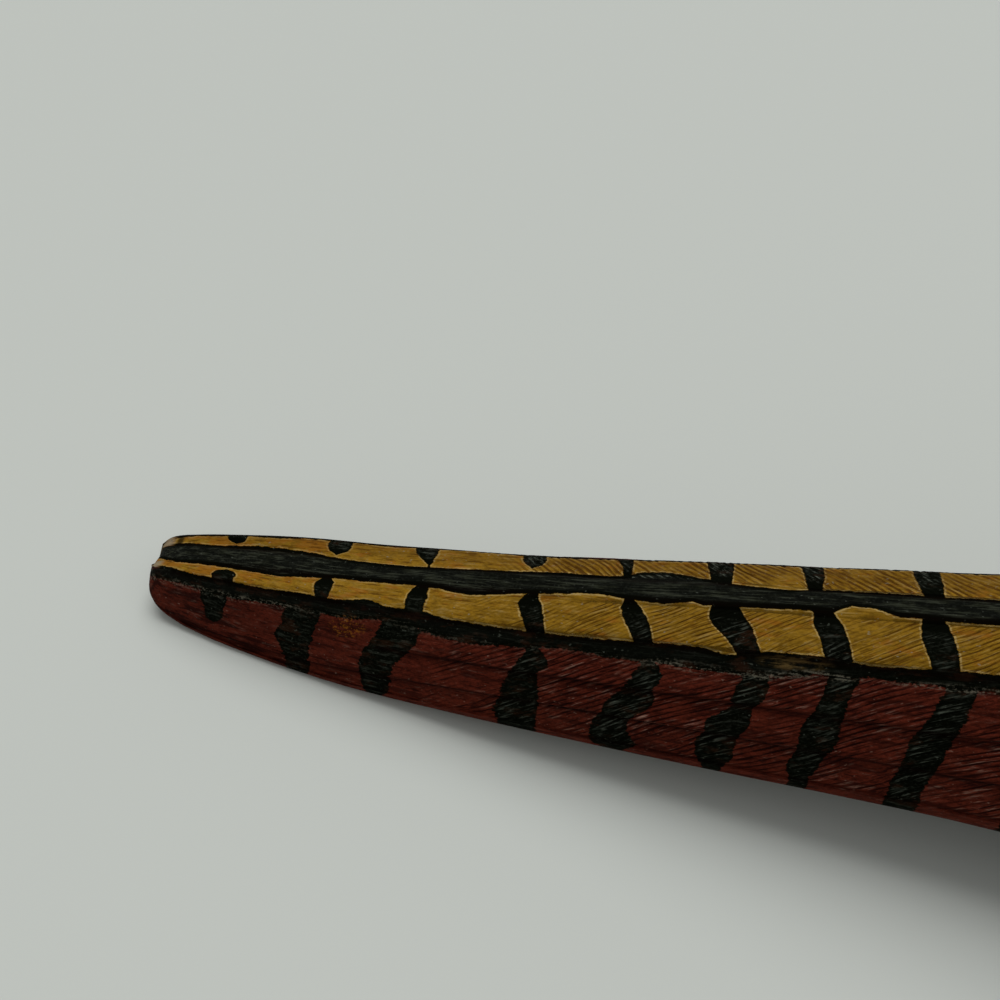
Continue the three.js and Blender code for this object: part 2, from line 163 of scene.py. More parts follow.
WATTLE_EDGES = np.array([
    [367, 0.5, 0.56], [368.5, 0.41, 0.64], [372, 0.35, 0.7], [377, 0.32, 0.73], [382, 0.34, 0.71],
    [385.4, 0.4, 0.63], [386.6, 0.47, 0.55],
])
WING_FEATHERS = 5
EYE = (377.6, 0.41)
TUFT = (364.6, 0.24)
BEAK_FROM = 386.4
MOUTH_LINE, MOUTH_FROM = 0.62, 383
NOSTRIL = (BEAK_FROM + 3.4, 0.36)  # its middle, along and as a line
NOSTRIL_HALF = (1.5, 0.5)  # half its length and half its height
UNDERSIDE = (0.8, 0.93)  # lines between which the plain underside begins

# The fine carving.
BARB_EVERY = 0.8 / math.sin(math.radians(20))  # along the quill, from one cut of the barbs to the next
BARB_WANDERS = ((0.9, 26, 3), (0.35, 9, 4))  # how far the cuts stray, over what length, and the seed
BARB_DEPTH = 0.22
BARB_ANGLES = (29, 24, 23, 28, 30)  # degrees to the quill, from the feather beside it to the lowest
LEFT_VANE_ANGLE = 43  # of the feather beside the quill, on the left
VANE_CUTS = 1.5  # how much closer the cuts are along the feathers beside the quill
BAND_STRENGTHS = np.array([0, 0.8, 1, 1, 1, 0.35, 0])  # of the cuts, from the quill down to the underside
LEFT_VANE_STRENGTH = 1.3
CUT_HALF_WIDTH = 0.4  # of a barb
KNIFE_DEPTH, KNIFE_LENGTH = 0.1, 9  # of the soft marks along the tail
RINGS_PER_BARB = 4
BAND_SHIFT = 0.25  # of a barb, from one feather's cuts to the next feather's
CUTS_END = 192  # the tail's own rows of faces end here, and the body's begin
FEATHER_COLUMNS = 13  # on each side of the body
FEATHER_LENGTH = 0.86  # of a body feather's show, as a share of its width
FEATHER_HEIGHT = 0.55
WHOLE_FEATHER = 8  # a shorter one is lower
LAST_ROW_AT = 203  # where the body's feathers end over the tail
FREE_END = 0.62  # how deep the free ends are cut in between, as a share of a feather's length

# Columns of faces for each whole line number, above and under the rim, and how far from a step its own two lie.
TAIL_COLUMNS, BODY_COLUMNS = (46, 26, 0.007), (112, 50, 0.006)
ROW_SPACINGS = ((21, 1.3), (30, 1.15), (36, 0.85), (LAST, 0.6))  # of the body's faces, up to each section
CLOSE = 0.12  # this near to the tail's first or last row of faces, a vertex is one of that row's
SHARP_ANGLE = 52  # degrees

# Brush strokes on the tail. A place on it is a distance from the quill's end and a distance from the middle of
# the back, which is below 0 on the right side of the bird.
STRIPE_LEFT = np.array([
    [-2, 2.9], [5, 3], [12, 2.9], [20, 3.7], [26, 3.8], [34, 3.4], [40, 2.6], [46, 2.3], [55, 2.2], [65, 2.8],
    [75, 3.1], [85, 3.6], [95, 3.5], [98, 4], [99, 5], [104, 5.5], [107, 5.1], [112, 3.7], [116, 2.8],
    [121, 2.4], [126, 2], [130, 3], [136, 3], [150, 2.7], [168, 3.2], [200, 3],
])
STRIPE_RIGHT = np.array([
    [-2, -0.8], [0, -1.5], [2, -2.2], [5, -2.7], [12, -2.7], [18, -3], [24, -3.4], [29, -3.9], [34, -3.3],
    [42, -2.7], [50, -2.7], [58, -2.5], [63, -2.8], [67, -3.5], [70, -3.7], [75, -3], [80, -2.5], [88, -2],
    [93, -1.6], [98, -2.3], [105, -2.9], [110, -2.2], [112, -2.8], [120, -2.6], [128, -2.3], [133, -2.5],
    [136, -1.1], [139, -1.1], [143, -2.4], [155, -2.8], [170, -2.4], [200, -3],
])
OCHRE_EDGE = np.array([
    [-2, 3.2], [0, 3.6], [5, 4.8], [10, 5.9], [15, 6.2], [20, 6.7], [27, 7.3], [38, 7.5], [43, 7.8], [50, 6.9],
    [54, 8], [61, 7.9], [65, 8.9], [75, 9.7], [85, 10.1], [95, 10.4], [108, 10.4], [113, 10.6], [118, 11.8],
    [124, 10.5], [133, 10.5], [140, 11.5], [155, 11.2], [170, 11.8], [200, 12.6],
])
RED_EDGE = np.array([
    [-2, 5], [0, 6.8], [5, 8], [9, 8.3], [15, 9.4], [20, 10], [30, 10.4], [45, 11.2], [55, 10.6], [60, 11.6],
    [66, 12.8], [72, 13.4], [85, 13], [91, 12.8], [98, 13.7], [103, 14.3], [107, 13.8], [112, 14.6],
    [120, 14.8], [125, 14.9], [132, 13.6], [136, 14], [140, 13.4], [155, 14.2], [170, 14.4], [200, 15.6],
])
# The ochre's edge on the left. The photo shows only a thin black line beyond it, along the far outline.
LEFT_OCHRE_EDGE = np.array([
    [-2, 3.1], [2, 4.2], [10, 5], [20, 5.8], [40, 7], [65, 8.2], [95, 9.1], [145, 10.5], [200, 12.2],
])
# Bars, nearest the tip first: [distance from the back's middle, along, half width] down each one.
RIGHT_BARS = [
    [(3.2, 17.3, -0.6), (4.2, 17.4, 2), (5.2, 17.6, 2.7), (6.5, 17.7, 2.5)],
    [(2.9, 39.5, 0.8), (3.6, 39.4, 1.8), (5, 39.5, 2), (7.5, 40, 1.4)],
    [(2, 59.5, 1), (4.6, 59, 2), (8.5, 59.5, 1.9)],
    [(2, 81.3, 0.9), (3.4, 80.9, 1.6), (4.6, 81.1, 2.3), (7, 82.2, 2.1), (10, 83.6, 1.7)],
    [(2, 98.8, 0.7), (4, 99.6, 1.8), (6.2, 100.8, 2.2), (9, 102.5, 1.8), (11, 103.3, 1.8)],
    [(2, 115.5, 2.1), (4.6, 116.2, 3.1), (6, 117.2, 3.3), (8.2, 118.9, 2.7), (10.3, 120.5, 2.1),
     (12, 121.6, 2.2)],
    [(2, 131.5, 1.5), (5, 132.8, 2.4), (7.5, 134, 2.2), (10.8, 135.2, 2.2)],
    [(2, 148.4, 1.6), (6, 149.6, 2.5), (11.5, 151.4, 2)],
    [(2, 165.6, 1.7), (6.4, 167.3, 2.3), (12, 169, 2.2)],
    [(2, 183.8, 1.5), (6.4, 185.3, 2.4), (12.5, 187, 2.1)],
]
LEFT_BARS = [
    [(3.6, 16, -0.6), (4.1, 15.9, 1.6), (5, 15.7, 2.3), (8.5, 15.6, 2.6)],
    [(3.5, 38.9, -0.4), (4.1, 38.8, 1.7), (5.5, 38.7, 2.6), (8.5, 38.6, 2.5)],
    [(3.1, 58.9, 0.2), (4.4, 58.3, 1.1), (6, 57.4, 2.2), (7.5, 57, 2.5), (9.5, 56.8, 2.3)],
    [(4.3, 79.3, -0.4), (5, 79.3, 1), (6.2, 79.3, 2), (7.6, 79, 2.4), (10.5, 78.8, 2.3)],
    [(2, 97.7, 0.7), (6.2, 97.2, 0.9), (8.5, 96.5, 1.4), (11, 95.9, 1.6)],
    [(2, 114.5, 1.6), (6.5, 113.9, 2.1), (11.5, 113.4, 2.5)],
    [(2, 130, 1.1), (6.5, 129.8, 1.6), (11.5, 129.2, 2.1)],
    [(2, 148.8, 1.5), (6.5, 148.3, 2), (11.8, 147.8, 2.2)],
    [(2, 166, 1.4), (7, 166.5, 2.2), (12.2, 165.4, 2.1)],
    [(2, 185.4, 1.6), (7, 185, 2.1), (12.8, 184.2, 2.2)],
]
SIDE_BARS = [
    [(8, 16.1, 3.3), (11, 16.2, 3.1), (12.4, 16.4, 2.3), (13.6, 16.5, 2.3), (14.8, 16.4, 2.1),
     (15.4, 16.3, 1.7), (15.9, 16.3, -0.6)],
    [(10, 37, 3.9), (12, 36.2, 4.2), (14, 36, 3.6), (16.5, 34.8, 4.4), (19, 35.4, 3.3), (21, 35.9, 2.9),
     (25, 36.2, 2.6), (26.8, 36.4, 1.4), (27.8, 36.4, -0.5)],
    [(10.5, 57.6, 3.6), (12, 57.3, 4.2), (14.5, 56.6, 4.5), (17, 54.8, 4.4), (19.5, 53.4, 3.9), (22, 53.2, 3.3),
     (25.2, 53.4, 2.9), (27, 53.6, 2.2), (28.6, 53.6, 1), (29.4, 53.6, -0.5)],
    [(13, 84, 1), (14.3, 84, 2.2), (16, 84.3, 3.2), (17.6, 82.6, 2.5), (19, 82.4, 3), (21, 82.6, 3.5),
     (24, 82.6, 4), (26, 81.9, 4.2), (31, 83, 3.6), (33, 83, 2)],
    [(14, 104.8, 1.2), (15.6, 105, 2.4), (17.8, 104.5, 2.7), (19, 103.6, 2.4), (20.5, 103.3, 3.8),
     (22.5, 102.4, 4.1), (24.3, 101, 2.9), (26, 99.7, 3), (28, 99.7, 3.4), (31, 101, 4.2), (33, 101, 2)],
    [(14.5, 123, 1.9), (17, 122.7, 2.6), (19.2, 122.3, 2.6), (20.9, 121.6, 1.6), (22.5, 120.6, 3),
     (24, 119.8, 3.8), (25.8, 119.4, 2.9), (28.5, 118.5, 3.4), (31.5, 118.8, 3.2), (34, 118.8, 1.6)],
    [(14, 136.6, 2.4), (17, 136, 2.1), (20, 135.5, 2.4), (22.5, 134.7, 2.9), (25.5, 134.9, 3.1),
     (28, 134.3, 2.4), (31, 133.4, 2.6), (34, 133.4, 1.6)],
    [(14, 154, 2.2), (19, 153.2, 2.6), (23.5, 151.5, 3), (28, 151, 2.7), (33, 150, 2.6)],
    [(14, 172, 2.2), (19, 171, 2.4), (23.5, 169.5, 3.2), (28, 168.6, 2.8), (34, 167.6, 2.7)],
    [(14, 190, 2.3), (19, 189, 2.7), (24, 187.8, 2.9), (29, 186.6, 3), (35, 185.6, 2.6)],
]
BAR_SPACING = 17.5  # about, from one bar to the next
# A patch of orange flecks on the red, and a brown rubbed one at the black line: along, across, and half sizes.
FLECKS, RUBBED = (48, -13, 4.5, 3), (131, -12, 7, 1.5)


def smooth(low, high, x):
    t = np.clip((np.asarray(x, float) - low) / (high - low), 0, 1)
    return t * t * (3 - 2 * t)


def mix(a, b, t):
    return a + (b - a) * t


def curve(a, b, c, d, t):
    return b + 0.5 * t * (c - a + t * (2 * a - 5 * b + 4 * c - d + t * (3 * (b - c) + d - a)))


def through(rows, at):
    """A smooth curve through rows of numbers, at row numbers that need not be whole."""
    at = np.asarray(at, float)
    i = np.clip(np.floor(at).astype(int), 0, len(rows) - 2)
    row = lambda k: rows[np.clip(k, 0, len(rows) - 1)]
    return curve(row(i - 1), row(i), row(i + 1), row(i + 2), (at - i)[..., None])


def look_up(rows, place):
    """The same, with each row's first number as its place."""
    place = np.asarray(place, float)
    i = np.clip(np.searchsorted(rows[:, 0], place, side="right") - 1, 0, len(rows) - 2)
    t = (place - rows[i, 0]) / (rows[i + 1, 0] - rows[i, 0])
    return through(rows, i + t)[..., 1:]


def tail_point(rows, line, half_width):
    """Half width and level of a line on the tail, as shares of the section's, with the quill's own width."""
    k = np.clip(np.searchsorted(rows[:, 0], line, side="right") - 1, 0, len(rows) - 2)
    t = ((line - rows[k, 0]) / (rows[k + 1, 0] - rows[k, 0]))[..., None]
    quill = np.stack([QUILL_HALF_WIDTH / half_width, np.full_like(half_width, QUILL_LEVEL)], -1)

    def row(m):
        m = np.clip(m, 0, len(rows) - 1)
        return np.where((m == 1)[..., None], quill, rows[m][..., 1:])

    return curve(row(k - 1), row(k), row(k + 1), row(k + 2), t)


def skin(at, signed_line):
    """A point of the smooth skin, at a section number and a line."""
    at, signed_line = np.broadcast_arrays(np.asarray(at, float), np.asarray(signed_line, float))
    line = np.abs(signed_line)
    back_x, back_z, under_x, under_z, half_width, widest = np.moveaxis(through(SECTIONS, at), -1, 0)
    along = (back_x + under_x) / 2
    root_share = smooth(10, 90, along)[..., None]
    at_tip, at_root = (tail_point(rows, line, half_width) for rows in (TIP_SECTION, ROOT_SECTION))
    tail = mix(at_tip, at_root, root_share)
    on_body = look_up(BODY_LINES, line)[..., 0]
    angle = np.pi * mix(on_body, line, smooth(NECK_STARTS, HEAD_STARTS, along))
    upper = angle < np.pi / 2
    power = 2 / np.where(upper, BACK_SQUARENESS, BELLY_SQUARENESS)
    body_share = smooth(TAIL_ENDS, BODY_STARTS, along)
    across = mix(tail[..., 0], np.abs(np.sin(angle)) ** power, body_share)
    level = mix(tail[..., 1], np.abs(np.cos(angle)) ** power * np.where(upper, 1, -1), body_share)
    height = np.where(level > 0, mix(widest, 1, level), mix(widest, 0, -level))
    notch = NOTCH * (1 - smooth(0, 2.2 * QUILL, line)) * (1 - smooth(-1, 4, along))
    leftward = np.maximum(0, np.sign(signed_line) * across)
    slant = TIP_SLANT * leftward * (1 - smooth(-1, 7, along))
    rounding = TIP_ROUNDING * smooth(0.48, 0.66, line) * (1 - smooth(3, 9, along))
    x = mix(under_x, back_x, height) + notch - slant + rounding
    y = np.sign(signed_line) * half_width * across + TIP_FLARE * leftward * (1 - smooth(2, 17, along))
    return np.stack([x, y, mix(under_z, back_z, height)], -1)


def unit(v):
    return v / np.maximum(np.linalg.norm(v, axis=-1, keepdims=True), 1e-12)


def directions(at, line):
    """The directions there: along the bird, down round it, and out of the skin."""
    step = 1e-3
    along = unit(skin(np.minimum(LAST, at + step), line) - skin(np.maximum(0, at - step), line))
    around = unit(skin(at, line + step) - skin(at, line - step))
    out = unit(np.cross(along, around))
    return along, np.cross(out, along), out


# Tables over sections and lines: millimetres down the skin from the back's middle, and along it from the tip.
AT_STEP, LINE_STEP = 0.02, 0.0025
AT_GRID = np.arange(0, LAST + AT_STEP / 2, AT_STEP)
LINE_GRID = np.arange(0, 1 + LINE_STEP / 2, LINE_STEP)
GRID = skin(AT_GRID[:, None], LINE_GRID)
ROUND_STEPS = np.linalg.norm(np.diff(GRID, axis=1), axis=-1)
running = lambda steps: np.concatenate([np.zeros((len(steps), 1)), np.cumsum(steps, 1)], 1)
DOWN = running(ROUND_STEPS)
GIRTH = DOWN[:, -1]
MIDDLES = through(SECTIONS, AT_GRID)
ALONG = (MIDDLES[:, 0] + MIDDLES[:, 2]) / 2
PATH = np.concatenate([[0], np.cumsum(np.hypot(np.diff(ALONG), np.diff(MIDDLES[:, 1] + MIDDLES[:, 3]) / 2))])
FEATHER_LENGTHS = FEATHER_LENGTH * GIRTH / FEATHER_COLUMNS
ROWS = np.concatenate([[0], np.cumsum(np.diff(PATH) / FEATHER_LENGTHS[1:])])
LEANS = np.concatenate([[0], 1 / np.tan(np.radians(np.array(BARB_ANGLES)))])
LEFT_LEANS = np.concatenate([[0, 1 / math.tan(math.radians(LEFT_VANE_ANGLE))], LEANS[2:]])
BANDS = np.searchsorted([QUILL, VANE, SIDE_A, SIDE_B, SIDE_C], LINE_GRID[1:] - 1e-6)
LEAN = running(ROUND_STEPS * LEANS[BANDS])
LEFT_LEAN = running(ROUND_STEPS * LEFT_LEANS[BANDS])
TURN_BACK = int(np.argmax(ALONG > NECK_RISES[0]))
HEAD = TURN_BACK + int(np.argmax(ALONG[TURN_BACK:] > NECK_RISES[1]))


def section_at(along):
    """The section number whose middle lies that far along."""
    before = np.interp(along, ALONG[:TURN_BACK], AT_GRID[:TURN_BACK])
    return np.where(np.asarray(along) > NECK_RISES[1], np.interp(along, ALONG[HEAD:], AT_GRID[HEAD:]), before)


def read(table, at, line):
    """A table over sections and lines, between its entries."""
    i = np.clip(at / AT_STEP, 0, len(AT_GRID) - 1.001)
    j = np.clip(np.abs(line) / LINE_STEP, 0, len(LINE_GRID) - 1.001)
    i0, j0 = i.astype(int), j.astype(int)
    near = mix(table[i0, j0], table[i0 + 1, j0], i - i0)
    far = mix(table[i0, j0 + 1], table[i0 + 1, j0 + 1], i - i0)
    return mix(near, far, j - j0)


def read_row(table, at):
    return np.interp(at, AT_GRID, table)


def drift(x, y, size, seed):
    """A smooth wandering number, from about -1 to 1, that changes over that many millimetres."""
    rng = np.random.default_rng(seed)
    total = 0
    for _ in range(5):
        turn, start = rng.uniform(0, 2 * np.pi, 2)
        wave = 2 * np.pi / (size * rng.uniform(0.7, 1.8))
        total = total + np.sin(wave * (x * np.cos(turn) + y * np.sin(turn)) + start)
    return total / 2.6


def band_of(line):
    return np.searchsorted([QUILL, VANE, SIDE_A, SIDE_B, SIDE_C, RIM], np.abs(line))


def barb_number(at, along, line):
    """Counts the cuts of the tail's barbs, which run out and back from the quill."""
    side = np.sign(line) * read(DOWN, at, line)
    wander = sum(far * drift(along, side, size, seed) for far, size, seed in BARB_WANDERS)
    lean = np.where(np.asarray(line) > 0, read(LEFT_LEAN, at, line), read(LEAN, at, line))
    return (along + lean + wander) / BARB_EVERY


def cut_number(at, along, line):
    """The same, for each feather's own cuts."""
    band = band_of(line)
    cuts = np.where(band == 1, VANE_CUTS, 1)
    return (barb_number(at, along, line) + BAND_SHIFT * band) * cuts


def shingle(distance, reach, width=STEP_WIDTH):
    """The height of a shingled step at a distance past it: up to 1 before it, and down to -1 after it."""
    bend = np.maximum(0, 1 - np.abs(distance) / reach)
    return -bend * np.clip(distance / width, -1, 1)


def barb_cut(number):
    """The height of the cuts, from 0 on a barb to -1 in a cut."""
    off = np.abs(number - np.round(number))
    return -np.clip(1 - off / CUT_HALF_WIDTH, 0, 1)


def barb_strength(along, line, at):
    """How deep the cuts are there, where 1 is as usual. They wear away towards the tail's tip."""
    side = np.sign(line) * read(DOWN, at, line)
    band = band_of(line)
    beside_quill = band == 1
    starts = np.where(beside_quill, 56, 42)
    shows = smooth(starts, 94, along) * (1 - smooth(CUTS_END - 14, CUTS_END - 1, along))
    outside = (np.abs(line) > QUILL) & (np.abs(line) < RIM)
    cut = np.round(cut_number(at, along, line))
    by_barb = 0.8 + 0.3 * np.sin(2.4 * cut) * np.sin(5.1 * cut + 1)
    by_band = BAND_STRENGTHS[band] * np.where(beside_quill & (np.asarray(line) > 0), LEFT_VANE_STRENGTH, 1)
    return shows * outside * by_band * by_barb * np.clip(0.78 + 0.45 * drift(along, side, 12, 8), 0.15, 1.25)


def feather_rows(a, b):
    """Which feather of the body lies there, and how far its free end is, in feather lengths."""
    def end_of(n):
        t = b + 0.5 * np.mod(n, 2)
        return n + 1 - FREE_END * (2 * (t - np.floor(t)) - 1) ** 2

    n = np.floor(a)
    first = end_of(n)
    own = np.where(a < first, n, n + 1)
    return own, np.where(a < first, first, end_of(n + 1)) - a


ROWS_TO_TAIL = float(np.floor(read_row(ROWS, section_at(LAST_ROW_AT))))
RUMP_ROW = float(np.floor(ROWS_TO_TAIL - read_row(ROWS, section_at(244))))  # the red of the rump starts there
ROWS_SHIFT = 200  # moves a row number of the rump below those of the skin


def feather_place(at, line):
    """Feather rows are counted towards the tail, and below 0 over it. Columns are counted down the side."""
    a = ROWS_TO_TAIL - read_row(ROWS, at)
    b = np.sign(line) * FEATHER_COLUMNS * read(DOWN, at, line) / read_row(GIRTH, at)
    return a, b + 0.5


def scallops(at, line):
    """The height of the body's small feathers there, each highest at its free end, and the row of each."""
    own, left = feather_rows(*feather_place(at, line))
    size = np.clip(read_row(FEATHER_LENGTHS, at) / WHOLE_FEATHER, 0.25, 1)
    return FEATHER_HEIGHT * size * (0.5 - np.clip(left, 0, 1.2)), own


def under_share(along, line):
    """1 on the plain underside that the carving rests on, and 0 off it."""
    return smooth(*UNDERSIDE, np.abs(line)) * (1 - smooth(330, 347, along))


def from_nostril(along, at, line):
    """The distance from the middle of a nostril, with its edge at 1."""
    ahead = along - NOSTRIL[0]
    below = read(DOWN, at, line) - read(DOWN, at, NOSTRIL[1]) - 0.25 * ahead
    return np.where(at > HEAD_SECTION, np.hypot(ahead / NOSTRIL_HALF[0], below / NOSTRIL_HALF[1]), 9)


def relief(at, signed_line):
    """How far the carving stands out of the smooth skin."""
    line = np.abs(signed_line)
    along = read_row(ALONG, at)
    down = read(DOWN, at, line)
    side = np.sign(signed_line) * down
    out = np.zeros_like(along)
    for edge, start, depth in TAIL_STEPS:
        shows = smooth(start - 2, start + 16, along) * (1 - smooth(TAIL_ENDS + 20, TAIL_ENDS + 50, along))
        out += TAIL_STEP * depth * shows * shingle(down - read(DOWN, at, edge), TAIL_STEP_REACH)
    uneven = np.clip(0.8 + 0.55 * drift(along, side, 3, 44), 0.3, 1.25)
    cuts = barb_cut(cut_number(at, along, signed_line))
    out += BARB_DEPTH * uneven * barb_strength(along, signed_line, at) * cuts
    knife = smooth(-2, 12, along) * (1 - smooth(CUTS_END, CUTS_END + 30, along)) * (line < RIM)
    out += KNIFE_DEPTH * knife * drift(along / KNIFE_LENGTH, side, 1.9, 21)
    feathers, own = scallops(at, signed_line)
    on_body = (own < 0.5) * (1 - under_share(along, line)) * (1 - smooth(BEAK_FROM - 24, BEAK_FROM - 8, along))
    out += on_body * feathers
    on_head = at > HEAD_SECTION
    mouth = np.maximum(0, 1 - np.abs(line - MOUTH_LINE) / 0.06)
    out -= MOUTH_DEPTH * mouth * smooth(MOUTH_FROM, MOUTH_FROM + 5, along) * on_head
    out -= NOSTRIL_DEPTH * (1 - smooth(0.2, 1.1, from_nostril(along, at, line)))
    return out - BEAK_STEP * smooth(BEAK_FROM, BEAK_FROM + 1, along) * on_head


def lifted(at, line, lift):
    return skin(at, line) + directions(at, line)[2] * np.asarray(lift)[..., None]


def bar_count(along, down, bars):
    """Counts the bars along the tail, with a whole number at each one's middle, and gives its half width."""
    rows = [np.array(bar) for bar in bars]
    middles = np.stack([np.interp(down, bar[:, 0], bar[:, 1]) for bar in rows])
    halves = np.stack([np.interp(down, bar[:, 0], bar[:, 2]) for bar in rows])
    first, last = middles[:1] - BAR_SPACING, middles[-1:] + BAR_SPACING
    middles = np.concatenate([first, middles, last])
    none = np.full(down.shape, -2.0)[None]
    halves = np.concatenate([none, halves, none])
    k = np.clip((along > middles).sum(0) - 1, 0, len(middles) - 2)
    take = lambda table, index: np.take_along_axis(table, index[None], 0)[0]
    gap = take(middles, k + 1) - take(middles, k)
    share = np.clip((along - take(middles, k)) / gap, -0.4, 1.4)
    half = mix(take(halves, k), take(halves, k + 1), smooth(0.35, 0.65, share)) / gap
    return k + share, half


def stroke(rows, along):
    """Where a long stroke's edge lies, that far along."""
    return np.interp(along, rows[:, 0], rows[:, 1])


def tail_ink(along, side):
    """The black paint of the tail: the distance from its long strokes, below 0 inside them, and its bars."""
    left = side > 0
    down = np.abs(side)
    ochre_edge = stroke(OCHRE_EDGE, along)
    stripe = np.maximum(side - stroke(STRIPE_LEFT, along), stroke(STRIPE_RIGHT, along) - side)
    across = stroke(RED_EDGE, along) - ochre_edge
    left_edge = stroke(LEFT_OCHRE_EDGE, along) + 0.2 * drift(along, side * 0, 17, 31)
    inner = np.where(left, left_edge, ochre_edge)
    strokes = np.minimum(stripe, np.maximum(inner - down, down - inner - across))
    shifted = along - 2.4 - 1.5 * drift(along * 0, side, 12, 33)
    counts = [bar_count(place, down, bars) for place, bars in
              ((along, RIGHT_BARS), (along, LEFT_BARS), (along, SIDE_BARS), (shifted, SIDE_BARS))]
    which = np.where(down > inner + across / 2, 2, 0) + left
    return np.stack([strokes, *(np.choose(which, [count[k] for count in counts]) for k in (0, 1))], -1)


def fields(at, line, kind, extra=None):
    """What the paint needs to know of each vertex."""
    along = read_row(ALONG, at)
    down = read(DOWN, at, line)
    side = np.sign(line) * down
    path = read_row(PATH, at)
    radius = read_row(GIRTH, at) / np.pi
    everywhere = lambda value: np.full(along.shape, float(value))
    a, b = feather_place(at, line)
    number = cut_number(at, along, line)
    strength = barb_strength(along, line, at)
    on_head = at > HEAD_SECTION
    # The seam is the distance to the nearest step between feathers, and on the head to the mouth line and the
    # nostrils; the paint darkens it as painted shade.
    seam = everywhere(9)
    for edge, start, depth in TAIL_STEPS:
        past = down - read(DOWN, at, edge)
        seam = np.minimum(seam, np.where(along > start, np.abs(past - 0.3) + 0.4 * (1 - depth), 9))
    mouth = np.where(on_head & (along > MOUTH_FROM), np.abs(down - read(DOWN, at, MOUTH_LINE)), 9)
    seam = np.where(along < 205, seam, np.minimum(mouth, from_nostril(along, at, np.abs(line)) - 0.3))
    ink = tail_ink(along, side)
    red = down - np.where(along < 190, stroke(OCHRE_EDGE, along) + 0.8, read(DOWN, at, VANE))
    if kind == "wing":
        place, span = extra
        feather = np.clip(np.floor(place * WING_FEATHERS), 0, WING_FEATHERS - 1)
        inside = place * WING_FEATHERS - feather
        width = span / WING_FEATHERS
        number = (along + 2.3 * inside * width + 0.8 * drift(along, side, 22, 5)) / 2.9 + 0.4 * feather
        strength = everywhere(0.8)
        seam = np.minimum(9, inside * width)
        spread = along + 0.9 * inside * width + 7 * np.mod(feather, 2) + 1.3 * drift(along, side, 15, 6)
        half = (2.2 + 0.5 * drift(along, side, 6, 7)) / BAR_SPACING
        edge = np.minimum(inside * width - 0.1, (1 - inside) * width) - 0.45
        ink = np.stack([edge, spread / BAR_SPACING, half], -1)
        a, red = everywhere(99), everywhere(-9)
    if kind == "rump":
        a, red = a - ROWS_SHIFT, everywhere(9)
    if kind == "covert":
        red = everywhere(-99)
    past_ring = path - read_row(PATH, RING_SECTION)
    return {
        "place": np.stack([path, side, under_share(along, line)], -1),
        "ring": np.stack([radius * np.cos(side / radius), radius * np.sin(side / radius), 0 * side], -1),
        "barb": np.stack([number, strength, seam], -1),
        "ink": ink,
        "feather": np.stack([a, np.abs(b), read_row(FEATHER_LENGTHS, at)], -1),
        "zone": np.stack([red, past_ring, np.where(on_head, along - BEAK_FROM, -20)], -1),
    }


def ring_columns(per_line, under_per_line, beside):
    """Lines for the columns of faces, with one on each side of a step."""
    steps = [edge for edge, _, _ in TAIL_STEPS]
    lines = [0.0]
    for low, high in zip([0, *steps], [*steps, RIM]):
        first = low + (beside if low else 0)
        last = high - (beside if high != RIM else 0)
        count = max(2, round((last - first) * per_line))
        lines += list(np.linspace(first, last, count + 1)[0 if low else 1:])
    lines += list(np.linspace(RIM, 1, max(3, round((1 - RIM) * under_per_line)) + 1)[1:])
    lines = np.array(lines)
    return np.concatenate([lines, -lines[1:-1][::-1]])


def strip(first, first_lines, second, second_lines):
    """Faces between two rings with different numbers of columns, both in order round the bird."""
    rings, at, faces = (first, second), [0, 0], []
    ends = [(line, which) for which, lines in enumerate((first_lines, second_lines))
            for line in [*np.where(lines < 0, 2 + lines, lines)[1:], 2.0]]
    for _, which in sorted(ends):
        here = [ring[k % len(ring)] for ring, k in zip(rings, at)]
        at[which] += 1
        faces.append((*here, rings[which][at[which] % len(rings[which])]))
    return faces


def triangles(*corners):
    return np.stack(corners, -1).reshape(-1, 3)


def fan(tip, first, second):
    return triangles(np.full(len(first), tip), first, second)


def grid_faces(ids):
    """Faces between rings that close on themselves."""
    a, b = ids, np.roll(ids, -1, 1)
    faces = np.concatenate([triangles(a[:-1], a[1:], b[:-1]), triangles(b[:-1], a[1:], b[1:])])
    x, y, z = faces.T
    return faces[(x != y) & (y != z) & (x != z)]


